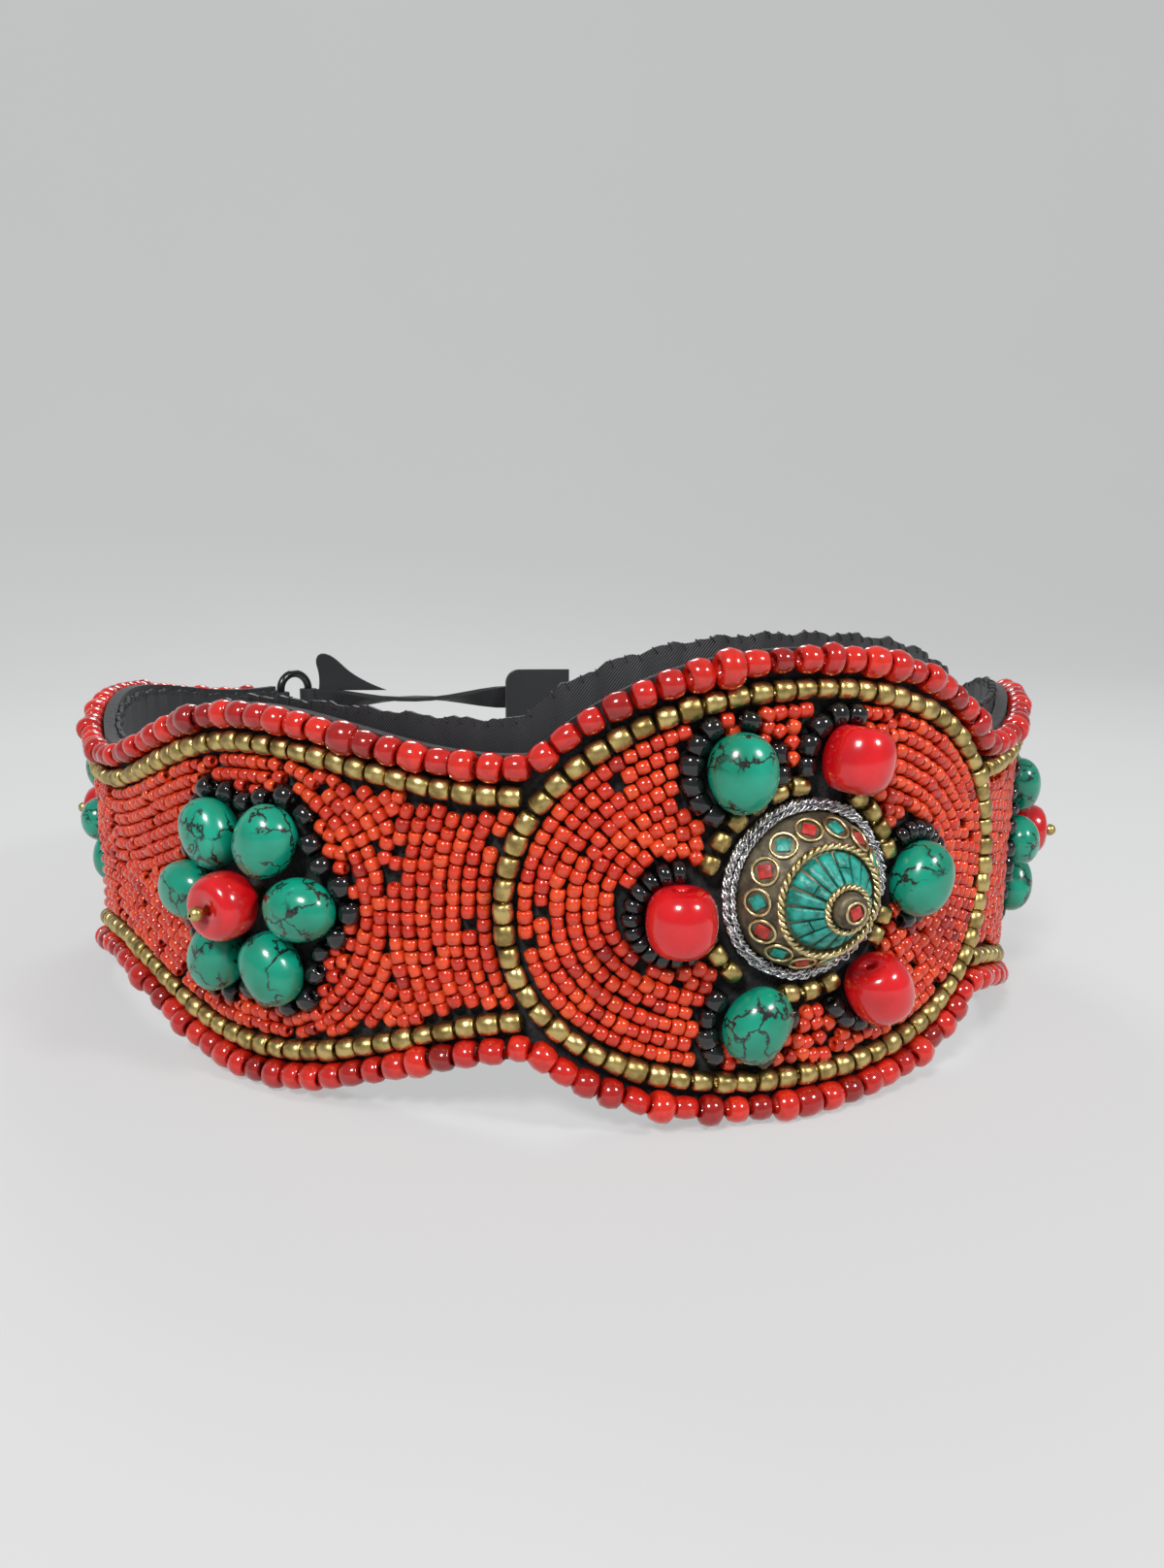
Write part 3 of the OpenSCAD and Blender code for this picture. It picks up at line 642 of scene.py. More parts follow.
def fill_gaps(lobe, kept, taken, rim):
    """More seeds wherever the rows left a hole, turned like the nearest one."""
    added = []
    first, last = cloth_ends(lobe, 0)
    rows = np.array(kept)
    for s, z in chance.uniform((first, -OVAL_H), (last, OVAL_H), (9000, 2)):
        if not room_for_seed(lobe, s, z, rim):
            continue
        gaps = np.hypot(taken[:, 0] - s, taken[:, 1] - z) - taken[:, 2]
        if gaps.min() > FILL_GAP:
            near = np.hypot(rows[:, 0] - s, rows[:, 1] - z).argmin()
            added.append((s, z, rows[near, 2]))
            taken = np.vstack([taken, [s, z, SEED_REACH]])
    return added


def obstacles_of(lobe, strings):
    """Round things on a lobe that seed beads keep clear of, as (s, z, radius)."""
    spots = [(s, z, 1.5) for s, z, _ in strings]
    if lobe == 0:
        spots += [(0, MEDALLION_Z, COLLAR_R + COLLAR_D / 2 - 0.1)]
        spots += [(s, z, 4.6) for s, z, _ in CENTRE_CORALS + CENTRE_NUGGETS]
    else:
        spots += [(crest(lobe), 0, 13.4)]
        spots += [(crest(lobe) + PETAL_RING_R * math.cos(a), PETAL_RING_R * math.sin(a), 5.4)
                  for a in np.radians(range(0, 360, 60))]
    return spots


SEED_FORM = bead_form(SEED_D, 0.7, 1.95, 10, 0.5)
BRASS_FORM = bead_form(BRASS_D, 1.0, 3.2, 14, 0.4)
EDGE_FORM = bead_form(EDGE_D, 1.0, 3.7, 16, 0.05)
BLACK_FORM = bead_form(BLACK_D, 0.9, 3.0, 14, 0.0)
THIN_BLACK_FORM = bead_form(BLACK_D - 0.2, 0.9, 1.9, 14, 0.2)
COLLAR_FORM = bead_form(COLLAR_D, 0.9, 2.9, 14, 0.35)


def brass_spots(lobe):
    if lobe == 0:
        return thread_beads(oval_route(0, 90, 450, 240), BRASS_D + 0.05, 0.05)
    side = 1 if lobe > 0 else -1
    if abs(lobe) == 1:
        start, stop = oval_s(INNER_WAIST_H, 0) + 3.3, OUTER_SEAM_S
    else:
        start, stop = OUTER_SEAM_S, LOBE_END_S - 1
    spots = []
    for edge in (1, -1):
        spots += thread_beads(edge_route(side * start, side * stop, 0, edge), BRASS_D + 0.05, 0.05)
    if abs(lobe) == 2:
        height = half_h(LOBE_END_S, 0) - 1.8
        spots += thread_beads([(side * LOBE_END_S, -height), (side * LOBE_END_S, height)], BRASS_D + 0.05)
    return spots


def edge_spots(lobe):
    pitch = EDGE_D - 0.45
    corner = oval_s(INNER_WAIST_H + ROW_STEP, ROW_STEP)
    side = 1 if lobe > 0 else -1
    if lobe == 0:
        return [spot for edge in (1, -1)
                for spot in thread_beads(edge_route(-corner, corner, ROW_STEP, edge), pitch, 0.12)]
    if abs(lobe) == 1:
        start, stop = corner, OUTER_SEAM_S
    else:
        start, stop = OUTER_SEAM_S, LOBE_END_S + ROW_STEP - 2
    spots = []
    for edge in (1, -1):
        spots += thread_beads(edge_route(side * start, side * stop, ROW_STEP, edge), pitch, 0.12)
    if abs(lobe) == 2:
        height = half_h(LOBE_END_S, ROW_STEP) - 3.4
        end = side * (LOBE_END_S + ROW_STEP)
        spots += thread_beads([(end, -height), (end, height)], pitch)
    return spots


def bead_lobe(lobe_name, lobe):
    if lobe == 0:
        strings = centre_strings()
        black = [spot for spot, _ in strings]
        for kind, form, wanted in (("round", BLACK_FORM, 3.0), ("thin", THIN_BLACK_FORM, 1.95)):
            chosen = [spot for spot, pitch in strings if pitch == wanted]
            beads_on(f"centre_{kind}_black_beads", chosen, form, BLACK_D, BLACK_GLASS, 0.04, "centre",
                     "black_glass", "centre_black_beads")
    else:
        black = rosette_string(lobe)
        beads_on(f"{lobe_name}_black_string", black, BLACK_FORM, BLACK_D, BLACK_GLASS, 0.05, lobe_name,
                 "black_glass", f"{lobe_name}_black_beads")
    seeds = seed_spots(lobe, obstacles_of(lobe, black))
    beads_on(f"{lobe_name}_seeds", seeds, SEED_FORM, SEED_D, SEED_RED, 0.045, lobe_name, "seed_glass",
             f"{lobe_name}_seed_beads", dark=0.05, wobble=0.09)
    beads_on(f"{lobe_name}_brass_row", brass_spots(lobe), BRASS_FORM, BRASS_D, BRASS, 0.03, lobe_name,
             "brass", f"{lobe_name}_brass_beads")
    beads_on(f"{lobe_name}_edge_row", edge_spots(lobe), EDGE_FORM, EDGE_D, EDGE_RED, 0.07, lobe_name,
             "edge_glass", f"{lobe_name}_edge_beads", wobble=0.08, dark=0.1)


# ---------------------------------------------------------------- cloth
def cloth_ends(lobe, z):
    """Where a lobe's cloth starts and stops at height z."""
    if lobe == 0:
        return -seam_s(z), seam_s(z)
    if abs(lobe) == 1:
        ends = (seam_s(z), OUTER_SEAM_S)
    else:
        ends = (OUTER_SEAM_S, LOBE_END_S + TRIM)
    return ends if lobe > 0 else (-ends[1], -ends[0])


HEM = ((0, 7.6), (45, 10.6), (86, 6.6), (132, 6.4), (182, 4.4), (240, 4.6))


def hem(s):
    """How far the lining's top edge stands beyond the brass row at s."""
    a = abs(s)
    for (start, low), (stop, high) in zip(HEM, HEM[1:]):
        if a <= stop:
            return swell(low, high, (a - start) / (stop - start))
    return HEM[-1][1]


def hem_wave(s):
    return 0.5 * (math.sin(s * 0.83) + 0.6 * math.sin(s * 1.9 + 1) + 0.4 * math.sin(s * 3.1))


def cloth_sheet(name, lobe, e_up, e_down, w_down, offset, thick, material):
    """A lobe's cloth: a grid laid over the band, then given its thickness inwards; no e_up means the hem."""
    deselect()
    columns, rows = 96, 28
    bpy.ops.mesh.primitive_grid_add(x_subdivisions=columns, y_subdivisions=rows, size=2)
    obj = bpy.context.object
    obj.name = name
    mesh = obj.data
    flat = np.array([v.co for v in mesh.vertices])
    uv = mesh.uv_layers.new(name="cloth")
    where = []
    for x, y, _ in flat:
        start, stop = cloth_ends(lobe, y * (INNER_WAIST_H + TRIM))
        s = start + (stop - start) * (x + 1) / 2
        wave = 0 if e_up else max(0.0, y) ** 6 * hem_wave(s)
        edge = half_h(s, e_up or hem(s)) if y > 0 else half_h(s, e_down, w_down)
        z = y * edge + 0.5 * wave
        o = offset + 0.35 * wave
        where.append((s, z, o))
    for vertex, (s, z, o) in zip(mesh.vertices, where):
        vertex.co = Vector(on_band(s, z, o))
    for loop in mesh.loops:
        s, z, _ = where[loop.vertex_index]
        uv.data[loop.index].uv = (s * MM, z * MM)
    mesh.materials.append(material)
    wall = obj.modifiers.new("thickness", "SOLIDIFY")
    wall.thickness = thick * MM
    wall.offset = -1
    apply_all(obj)
    select_only(obj)
    bpy.ops.object.shade_smooth_by_angle(angle=math.radians(50))
    return obj


def outward_check(obj, s):
    """Turns a closed sheet's faces round if its outer wall looks inwards."""
    outward = Vector(axes_at(s)[2])
    spot = Vector(on_band(s, 0, 0))
    near = min(obj.data.polygons, key=lambda p: (p.center - spot).length)
    if near.normal.dot(outward) < 0:
        obj.data.flip_normals()


def lay_cloth(lobe_name, lobe):
    ground = cloth_sheet(f"{lobe_name}_felt", lobe, TRIM - 1.0, TRIM - 0.6, 0.3, 0, GROUND_T - 0.1, FELT)
    lining = cloth_sheet(f"{lobe_name}_satin", lobe, None, TRIM - 0.4, 1.5, -GROUND_T - 0.2,
                         LINING_T - 0.1, SATIN)
    for obj, node, slot in ((ground, "ground", "felt"), (lining, "lining", "satin")):
        outward_check(obj, crest(lobe))
        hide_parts(f"{lobe_name}_{node}")
        if lobe == 0:
            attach(obj, "centre")
            continue
        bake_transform(obj)
    stitches = hem_stitches(lobe_name, lobe)


def hem_stitches(lobe_name, lobe):
    """Overcast stitches that wrap the lining's top edge."""
    form = ring_form(0.62, 0.09, 12, 6)
    start, stop = cloth_ends(lobe, INNER_WAIST_H + TRIM)
    places = []
    for s in np.arange(start + 1.2, stop - 1.2, 2.1):
        z = half_h(s, hem(s)) - 0.5 + 0.5 * hem_wave(s)
        places.append(band_matrix(s, z, -GROUND_T - 0.55 + 0.35 * hem_wave(s), chance.normal(0.5, 0.18)))
    return finish_piece(join_copies(f"{lobe_name}_hem_stitches", form, places, THREAD), lobe_name, "satin")


# ---------------------------------------------------------------- stones
def nugget_form(length, width, height, seed):
    """A tumbled nugget: a sphere pressed a little square, with low dents."""
    deselect()
    bpy.ops.mesh.primitive_uv_sphere_add(segments=40, ring_count=24, radius=1)
    obj = bpy.context.object
    dents = np.random.default_rng(seed)
    ways = dents.normal(size=(5, 3))
    phases = dents.uniform(0, 6, 5)
    for vertex in obj.data.vertices:
        p = np.array(vertex.co)
        swelling = 1 + 0.014 * sum(math.sin(1.7 * w @ p + f) for w, f in zip(ways, phases))
        squared = np.sign(p) * np.abs(p) ** 0.93 * swelling * 0.97
        vertex.co = Vector(squared * np.array([length, width, height]) / 2 * MM)
    return arrays_of(obj)


def barrel_form():
    """The rosette's coral: a stout barrel with dished faces round its hole."""
    face = [(0.6, 2.7), (0.95, 3.2), (2.0, 3.42), (2.9, 3.6), (3.8, 3.45), (4.6, 2.85), (5.1, 1.8),
            (5.3, 0.6)]
    return lathe_form(face + [(r, -h) for r, h in reversed(face)], 40, closed=True)


def coral_form(diameter, length, bore, pinch):
    """A drilled round bead, its hole along Z, with the rim drawn in round the hole."""
    profile = [(bore / 2, length / 2 - 0.7), (bore / 2 + 0.3, length / 2 - 0.12)]
    steps = 12
    for i in range(steps + 1):
        a = math.radians(90 - 180 * i / steps)
        radius = bore / 2 + 0.9 + (diameter / 2 - bore / 2 - 0.9) * math.cos(a) ** pinch
        profile.append((radius, length / 2 * math.sin(a)))
    profile += [(bore / 2 + 0.3, -length / 2 + 0.12), (bore / 2, -length / 2 + 0.7)]
    return lathe_form(profile, 40, closed=True)


def lathe_form(profile, segments, closed=False):
    """Turns a profile of (radius, height) in mm about Z with the screw modifier."""
    deselect()
    mesh = bpy.data.meshes.new("profile")
    count = len(profile)
    edges = [(i, i + 1) for i in range(count - 1)] + ([(count - 1, 0)] if closed else [])
    mesh.from_pydata([(r * MM, 0, h * MM) for r, h in profile], edges, [])
    obj = bpy.data.objects.new("profile", mesh)
    bpy.context.scene.collection.objects.link(obj)
    turned = obj.modifiers.new("turned", "SCREW")
    turned.steps = segments
    turned.render_steps = segments
    turned.use_merge_vertices = True
    turned.merge_threshold = 0.00002
    turned.use_normal_calculate = True
    apply_all(obj)
    face_outwards(obj, merge=0.000005)
    return arrays_of(obj)


def turned_about(form, axis):
    """A form whose Z is laid along another axis."""
    verts, faces = form
    rotation = Vector((0, 0, 1)).rotation_difference(Vector(axis)).to_matrix()
    return np.array([rotation @ Vector(v) for v in verts]), faces


def set_stones():
    for k, (s, z, spin) in enumerate(CENTRE_NUGGETS):
        form = nugget_form(*NUGGET, seed=k)
        place = standing_matrix(s, z, NUGGET[2] / 2 + 0.1, math.radians(spin))
        nugget = join_copies(f"centre_nugget_{k + 1}", form, [place], TURQUOISE)
        finish_piece(nugget, "centre", "turquoise", "centre_turquoise")
    bead = turned_about(coral_form(CORAL_D, CORAL_D - 0.6, 1.3, 0.72), (1, 0, 0))
    for k, (s, z, spin) in enumerate(CENTRE_CORALS):
        piece = join_copies(f"centre_coral_{k + 1}", bead,
                            [standing_matrix(s, z, CORAL_D / 2 + 0.1, math.radians(spin))], CORAL)
        finish_piece(piece, "centre", "coral", "centre_coral")
    for lobe_name, lobe in LOBES.items():
        if lobe == 0:
            continue
        for k in range(6):
            a = math.radians(60 * k)
            s, z = crest(lobe) + PETAL_RING_R * math.cos(a), PETAL_RING_R * math.sin(a)
            form = nugget_form(*NUGGET, seed=20 * lobe + 50 + k)
            piece = join_copies(f"{lobe_name}_petal_{k + 1}", form,
                                [standing_matrix(s, z, NUGGET[2] / 2 + 0.1, a)], TURQUOISE)
            finish_piece(piece, lobe_name, "turquoise", f"{lobe_name}_petals")
        spinner = join_copies(f"{lobe_name}_coral_bead", barrel_form(),
                              [standing_matrix(crest(lobe), 0, 3.9 + 3.6)], CORAL)
        finish_piece(spinner, f"{lobe_name}_spinner", "coral", f"{lobe_name}_coral")
        pin_profile = [(0, 0.1), (1.6, 0.1), (1.6, 3.4), (1.3, 3.7), (0.5, 3.7), (0.5, 11.3)]
        pin_profile += [(1.2 * math.sin(math.radians(a)), 12.4 - 1.2 * math.cos(math.radians(a)))
                        for a in range(25, 181, 13)]
        pin = join_copies(f"{lobe_name}_pin_shaft", lathe_form(pin_profile, 24),
                          [standing_matrix(crest(lobe), 0, 0)], BRASS)
        finish_piece(pin, lobe_name, "brass", f"{lobe_name}_pin")


# ---------------------------------------------------------------- medallion
DOME_R, CONE_R, BOSS_R = 11.7, 7.1, 2.6
DOME_FOOT, DOME_LOW, DOME_RISE, CONE_RISE = 1.1, 1.5, 5.0, 4.4
CONE_H = DOME_FOOT + DOME_LOW + DOME_RISE
CONE_TOP = CONE_H + CONE_RISE
BOSS_TOP = 14.0
SHOULDER = 0.6
RINGS, SLIVERS = 14, 16


def twisted_ring(name, radius, height, strands, twist_r, wire_r, turns, material, slot, node, loose=0.0):
    """Wires twisted round each other and closed in a ring on the medallion's axis."""
    parts_v, parts_f, base = [], [], 0
    count, sides = turns * 10, 6
    for strand in range(strands):
        rings = []
        for i in range(count):
            a = 2 * math.pi * i / count
            b = a * turns + 2 * math.pi * strand / strands
            fray = loose * (math.sin(7 * a + strand) + math.sin(19 * a + 2 * strand) + math.sin(43 * a))
            r = radius + twist_r * math.cos(b) + fray
            rings.append((r * math.cos(a), r * math.sin(a), height + twist_r * math.sin(b) + fray))
        rings = np.array(rings)
        ahead = np.roll(rings, -1, axis=0) - np.roll(rings, 1, axis=0)
        ahead /= np.linalg.norm(ahead, axis=1)[:, None]
        first = np.cross(ahead, [0, 0, 1.0])
        first /= np.linalg.norm(first, axis=1)[:, None]
        second = np.cross(first, ahead)
        for k in range(sides):
            c, q = math.cos(2 * math.pi * k / sides), math.sin(2 * math.pi * k / sides)
            parts_v.append(rings + wire_r * (c * first + q * second))
        for i in range(count):
            for k in range(sides):
                j, m = (i + 1) % count, (k + 1) % sides
                parts_f.append((base + k * count + i, base + k * count + j,
                                base + m * count + j, base + m * count + i))
        base += count * sides
    verts = np.vstack(parts_v) * MM
    return finish_piece(join_copies(name, (verts, parts_f), [standing_matrix(0, 0, 0)], material),
                        "centre", slot, node)


def dome_matrix(angle, lift=0.0, spin=0.0):
    """On the dome's skirt, Z out of its slope."""
    slope = math.atan2(DOME_RISE, DOME_R - CONE_R - SHOULDER)
    mid_r, mid_h = (DOME_R + CONE_R + SHOULDER) / 2, DOME_FOOT + DOME_LOW + DOME_RISE / 2
    local = (Matrix.Rotation(angle, 4, "Z") @ Matrix.Translation((mid_r * MM, 0, mid_h * MM))
             @ Matrix.Rotation(slope, 4, "Y") @ Matrix.Translation((0, 0, lift * MM))
             @ Matrix.Rotation(spin, 4, "Z"))
    return standing_matrix(0, 0, 0) @ np.array(local)


def chip_form(side, thick):
    """A cut chip with worn corners."""
    deselect()
    bpy.ops.mesh.primitive_cube_add(size=1)
    obj = bpy.context.object
    obj.data.transform(Matrix.Diagonal((side * MM, side * MM, thick * MM, 1)))
    worn = obj.modifiers.new("worn", "BEVEL")
    worn.width = 0.14 * MM
    worn.segments = 2
    apply_all(obj)
    return arrays_of(obj)


def build_medallion():
    dome_profile = [(0, CONE_H - 0.9), (CONE_R - SHOULDER, CONE_H - 0.9),
                    (DOME_R - 0.9, DOME_FOOT + DOME_LOW), (DOME_R - 0.9, DOME_FOOT),
                    (DOME_R - 0.15, DOME_FOOT), (DOME_R, DOME_FOOT + 0.2)]
    for i in range(9):
        x = i / 8
        crown = 0.35 * math.sin(math.pi * x)
        dome_profile.append((DOME_R + (CONE_R + SHOULDER - DOME_R) * x + crown * 0.75,
                             DOME_FOOT + DOME_LOW + DOME_RISE * x + crown * 0.66 - 0.3 * (x == 0)))
    dome_profile += [(CONE_R, CONE_H + 0.1), (BOSS_R - 0.3, CONE_TOP - 0.2), (BOSS_R - 0.1, CONE_TOP + 0.1),
                     (BOSS_R, CONE_TOP + 0.6), (BOSS_R - 0.2, BOSS_TOP - 0.4), (BOSS_R - 0.7, BOSS_TOP),
                     (0, BOSS_TOP)]
    dome = join_copies("dome", lathe_form(dome_profile, 96), [standing_matrix(0, 0, 0)], DARK_BRASS)
    finish_piece(dome, "centre", "antique_brass", "medallion_dome")
    places = [dome_matrix(2 * math.pi * i / RINGS, 0.45) for i in range(RINGS)]
    cells = join_copies("cell_rings", ring_form(1.88, 0.25, 28, 8), places, WIRE)
    finish_piece(cells, "centre", "brass", "medallion_brasswork")
    bezel = join_copies("boss_bezel", ring_form(1.45, 0.22, 28, 8), [standing_matrix(0, 0, BOSS_TOP + 0.15)],
                        WIRE)
    finish_piece(bezel, "centre", "brass", "medallion_brasswork")
    twisted_ring("cone_wire", CONE_R + 0.85, CONE_H + 0.45, 2, 0.33, 0.3, 22, WIRE, "brass",
                 "medallion_brasswork")
    twisted_ring("boss_wire", BOSS_R + 0.6, CONE_TOP + 0.35, 2, 0.28, 0.26, 12, WIRE, "brass",
                 "medallion_brasswork")
    chip = chip_form(1.95, 0.6)
    for name, first, material, slot, node in (
            ("coral_chips", 0, CORAL_CHIP, "coral_chip", "medallion_chips_coral"),
            ("turquoise_chips", 1, TURQUOISE_CHIP, "turquoise_chip", "medallion_chips_turquoise")):
        places = [dome_matrix(2 * math.pi * i / RINGS, 0.35, math.pi / 4 + random.uniform(-0.25, 0.25))
                  for i in range(first, RINGS, 2)]
        if first == 0:
            places.append(standing_matrix(0, 0, BOSS_TOP + 0.1, 0.4, (0.85, 0.85, 1)))
        finish_piece(join_copies(name, chip, places, material), "centre", slot, node)
    build_slivers()
    for k, (radius, height, strands, twist_r, wire_r, turns) in enumerate(
            ((12.9, 1.5, 4, 0.5, 0.26, 23), (13.2, 2.25, 2, 0.26, 0.16, 41), (12.35, 2.6, 3, 0.3, 0.17, 29))):
        twisted_ring(f"braid_{k + 1}", radius, height, strands, twist_r, wire_r, turns, TINSEL, "tinsel",
                     "medallion_braid", 0.1)
    plate = lathe_form([(0, 0.12), (11.6, 0.12), (11.7, 0.4), (11.7, 0.95), (11.4, 1.05), (0, 1.05)], 48)
    finish_piece(join_copies("plate", plate, [standing_matrix(0, 0, 0)], DARK_BRASS), "centre",
                 "antique_brass", "medallion_plate")
    places = []
    for i in range(28):
        a = 2 * math.pi * (i + 0.5) / 28
        s, z = COLLAR_R * math.cos(a), COLLAR_R * math.sin(a) + MEDALLION_Z / 2
        lean = any(math.hypot(s - p, z - q) < 5.4 for p, q, _ in CENTRE_CORALS)
        lean = lean or any(math.hypot(s - p, z - q) < 5.9 for p, q, _ in CENTRE_NUGGETS)
        if not lean:
            places.append(band_matrix(s, z, COLLAR_D / 2 + 0.1, a + math.pi / 2 + random.uniform(-0.1, 0.1)))
    finish_piece(join_copies("collar_row", COLLAR_FORM, places, BRASS), "centre", "brass", "collar_beads")


def build_slivers():
    """Turquoise slivers round the cone, with dark gaps between them and cracks across a few."""
    verts, faces = [], []
    steps_a, steps_r = 4, 5
    for i in range(SLIVERS):
        gap = 0.035 + 0.012 * random.random()
        a0 = 2 * math.pi * i / SLIVERS + gap
        a1 = 2 * math.pi * (i + 1) / SLIVERS - gap
        raised = 0.45 + 0.15 * random.random()
        cut = random.uniform(0.3, 0.7) if i % 3 == 0 else None
        spans = [(0.02, 0.98)] if cut is None else [(0.02, cut - 0.02), (cut + 0.02, 0.98)]
        for low, high in spans:
            base = len(verts)
            for layer in (0.0, raised):
                for j in range(steps_r + 1):
                    x = low + (high - low) * j / steps_r
                    for k in range(steps_a + 1):
                        a = a0 + (a1 - a0) * k / steps_a
                        edge = layer > 0 and (j in (0, steps_r) or k in (0, steps_a))
                        lift = layer - (0.16 if edge else 0)
                        radius = CONE_R + (BOSS_R - CONE_R) * x - 0.25 + lift * 0.7
                        verts.append((radius * math.cos(a), radius * math.sin(a),
                                      CONE_H + 0.15 + (CONE_RISE - 0.2) * x + lift * 0.7))
            row, sheet = steps_a + 1, (steps_a + 1) * (steps_r + 1)
            for j in range(steps_r):
                for k in range(steps_a):
                    p = base + j * row + k
                    faces.append((p, p + row, p + row + 1, p + 1))
                    faces.append((p + sheet, p + sheet + 1, p + sheet + row + 1, p + sheet + row))
            for j in range(steps_r):
                for k, flip in ((0, False), (steps_a, True)):
                    p = base + j * row + k
                    face = (p, p + sheet, p + sheet + row, p + row)
                    faces.append(face[::-1] if flip else face)
            for k in range(steps_a):
                for j, flip in ((0, True), (steps_r, False)):
                    p = base + j * row + k
                    face = (p, p + sheet, p + sheet + 1, p + 1)
                    faces.append(face[::-1] if flip else face)
    form = (np.array(verts) * MM, faces)
    piece = join_copies("cone_slivers", form, [standing_matrix(0, 0, 0)], TURQUOISE_CHIP)
    finish_piece(piece, "centre", "turquoise_chip", "medallion_cone")


# ---------------------------------------------------------------- closure
def soften_node(node, name, material, width, levels, body, slot):
    """A copy of a plain CAD piece with merged, bevelled and rounded edges."""
    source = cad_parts[node]
    obj = source.copy()
    obj.data = source.data.copy()
    obj.parent = None
    obj.name = name
    obj.hide_render = False
    bpy.context.scene.collection.objects.link(obj)
    obj.data.transform(source.matrix_world)
    obj.matrix_world = Matrix.Identity(4)
    for key in list(obj.keys()):
        del obj[key]
    select_only(obj)
    bpy.ops.object.mode_set(mode="EDIT")
    bpy.ops.mesh.select_all(action="SELECT")
    bpy.ops.mesh.remove_doubles(threshold=0.00001)
    bpy.ops.mesh.tris_convert_to_quads()
    bpy.ops.object.mode_set(mode="OBJECT")
    rounded = obj.modifiers.new("rounded", "BEVEL")
    rounded.width = width * MM
    rounded.segments = levels
    rounded.limit_method = "ANGLE"
    rounded.angle_limit = math.radians(40)
    apply_all(obj)
    bpy.ops.object.shade_smooth_by_angle(angle=math.radians(40))
    lay_uv(obj)
    obj.data.materials.clear()
    obj.data.materials.append(material)
    return finish_piece(obj, body, slot, node)


def lay_uv(obj):
    """UVs in metres: along the level way of each face, and up."""
    layer = obj.data.uv_layers.get("cloth") or obj.data.uv_layers.new(name="cloth")
    for polygon in obj.data.polygons:
        level = Vector((-polygon.normal.y, polygon.normal.x, 0))
        level = level.normalized() if level.length > 0.2 else Vector((1, 0, 0))
        for index in polygon.loop_indices:
            spot = obj.data.vertices[obj.data.loops[index].vertex_index].co
            layer.data[index].uv = (spot.dot(level), spot.z)


def build_fin():
    """The strap's loose end: a leaning tongue of webbing, wide at its foot and curled at its tip."""
    deselect()
    bpy.ops.mesh.primitive_grid_add(x_subdivisions=14, y_subdivisions=20, size=2)
    obj = bpy.context.object
    obj.name = "strap_fin"
    foot = Vector((-41.852, 94.978, 51.9))
    along = Vector((0.982701, -0.185201, 0))
    face = Vector((-0.185201, -0.982701, 0))
    for vertex in obj.data.vertices:
        across, up = (vertex.co.x + 1) / 2, (vertex.co.y + 1) / 2
        width = 6.4 + 13 * (1 - up) ** 2.3
        left = 3.0 - 1.6 * up ** 2 + 0.5 * math.sin(math.pi * up)
        if up > 0.66:
            shrink = math.sqrt(max(0.0, 1 - ((up - 0.66) / 0.345) ** 2))
            left, width = left + width * (1 - shrink) / 2, width * shrink
        rise = -0.9 + 10.6 * up
        curl = face * (0.9 * up ** 2 - 0.3 * up)
        vertex.co = (foot + along * (left + width * across) + Vector((0, 0, rise)) + curl) * MM
    wall = obj.modifiers.new("thickness", "SOLIDIFY")
    wall.thickness = 1.2 * MM
    wall.offset = 0
    edge = obj.modifiers.new("edge", "BEVEL")
    edge.width = 0.3 * MM
    edge.segments = 2
    edge.limit_method = "ANGLE"
    apply_all(obj)
    face_outwards(obj)
    bpy.ops.object.shade_smooth_by_angle(angle=math.radians(40))
    lay_uv(obj)
    obj.data.materials.append(TAPE)
    finish_piece(obj, "tail", "webbing", "strap_tail")


def build_closure():
    soften_node("left_tab", "ring_tab", TAPE, 0.25, 2, "left_outer", "webbing")
    soften_node("right_tab", "pile_tab", TAPE, 0.4, 3, "right_outer", "webbing")
    soften_node("strap", "strap_band", TAPE, 0.3, 2, "strap_end", "webbing")
    build_fin()
    soften_node("loop_ring", "closure_ring", GLOSS_BLACK, 0.05, 1, "ring", "black_ring")
    soften_node("hook_pad", "hook_tape", FELT, 0.15, 2, "strap_end", "hook_and_pile")
    soften_node("pile_pad", "pile_tape", FELT, 0.15, 2, "right_outer", "hook_and_pile")


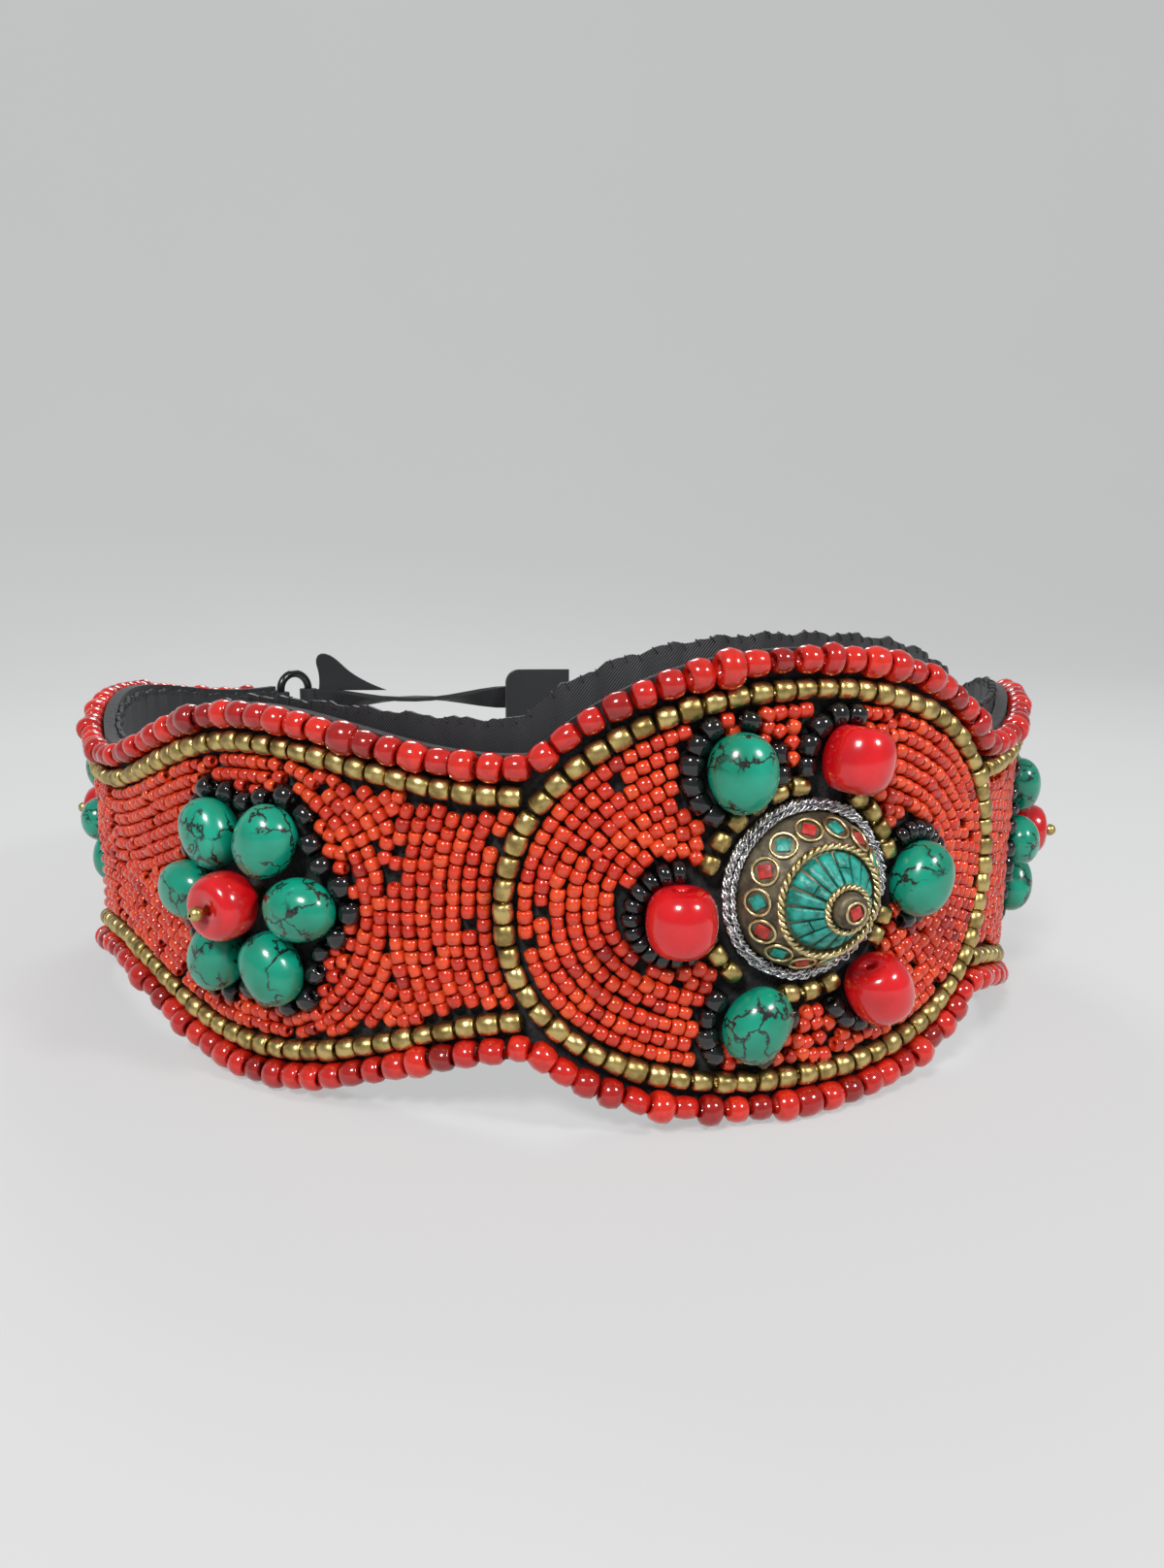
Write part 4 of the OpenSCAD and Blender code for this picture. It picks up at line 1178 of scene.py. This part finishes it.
# ---------------------------------------------------------------- studio
def build_studio():
    """A pale floor that sweeps up into the background, and soft lamps."""
    deselect()
    bpy.ops.mesh.primitive_grid_add(x_subdivisions=2, y_subdivisions=60, size=2)
    floor = bpy.context.object
    floor.name = "floor"
    sweep, start = 1.2, 0.6
    for vertex in floor.data.vertices:
        run = (vertex.co.y + 1) * 2.4 - 1.6
        bend = min(max(0.0, run - start), sweep * math.pi / 2)
        wall = max(0.0, run - start - sweep * math.pi / 2)
        vertex.co = Vector((vertex.co.x * 3, min(run, start) + sweep * math.sin(bend / sweep),
                            sweep * (1 - math.cos(bend / sweep)) + wall))
    deselect()
    floor.select_set(True)
    bpy.ops.object.shade_smooth()
    material, nodes, links, shader = new_material("pale_floor")
    colour = ramp(nodes, links, noise(nodes, links, 3, 2),
                  [(0.3, (0.24, 0.24, 0.24)), (0.7, (0.25, 0.25, 0.25))])
    links.new(colour, shader.inputs["Base Color"])
    shader.inputs["Roughness"].default_value = 0.95
    shader.inputs["Emission Color"].default_value = (1, 1, 1, 1)
    shader.inputs["Emission Strength"].default_value = 0.43
    floor.data.materials.append(material)
    world = bpy.data.worlds.new("studio")
    bpy.context.scene.world = world
    world.use_nodes = True
    background = world.node_tree.nodes["Background"]
    background.inputs["Color"].default_value = (0.9, 0.95, 1, 1)
    background.inputs["Strength"].default_value = 0.3
    bpy.context.scene.view_settings.view_transform = "Standard"
    for name, place, size, power in (("front_left", (-0.40, -0.50, 0.60), 0.16, 4.6),
                                     ("front_right", (0.35, -0.55, 0.50), 0.12, 2.6),
                                     ("back", (0.1, 0.6, 0.7), 0.3, 2.5)):
        lamp = bpy.data.lights.new(name, "AREA")
        lamp.size = size
        lamp.energy = power
        holder = bpy.data.objects.new(name, lamp)
        holder.location = place
        holder.rotation_euler = (Vector((0, 0, 0.03)) - Vector(place)).to_track_quat("-Z", "Y").to_euler()
        bpy.context.scene.collection.objects.link(holder)


def build_camera():
    """Low and close, a little to the left of the medallion."""
    azimuth, elevation, distance = math.radians(-21.137), math.radians(10.412), 0.2258
    middle = Vector((SHIFT_X * MM, SHIFT_Y * MM, CENTRE_Z * MM))
    away = Vector((math.sin(azimuth) * math.cos(elevation), -math.cos(azimuth) * math.cos(elevation),
                   math.sin(elevation)))
    right = Vector((math.cos(azimuth), math.sin(azimuth), 0))
    target = middle - right * 0.002267 + Vector((0, 0, 0.000536))
    lens = bpy.data.cameras.new("camera")
    lens.sensor_width = 36
    lens.lens = 22.92
    lens.clip_start = 0.01
    camera = bpy.data.objects.new("camera", lens)
    camera.location = middle + away * distance
    facing = (target - camera.location).to_track_quat("-Z", "Y").to_matrix()
    roll = Matrix.Rotation(math.radians(0.505), 3, "Z")
    camera.rotation_euler = (facing @ roll).to_euler()
    bpy.context.scene.collection.objects.link(camera)
    bpy.context.scene.camera = camera


build_camera()
build_studio()
for lobe_name, lobe in LOBES.items():
    lay_cloth(lobe_name, lobe)
    bead_lobe(lobe_name, lobe)
set_stones()
build_medallion()
build_closure()
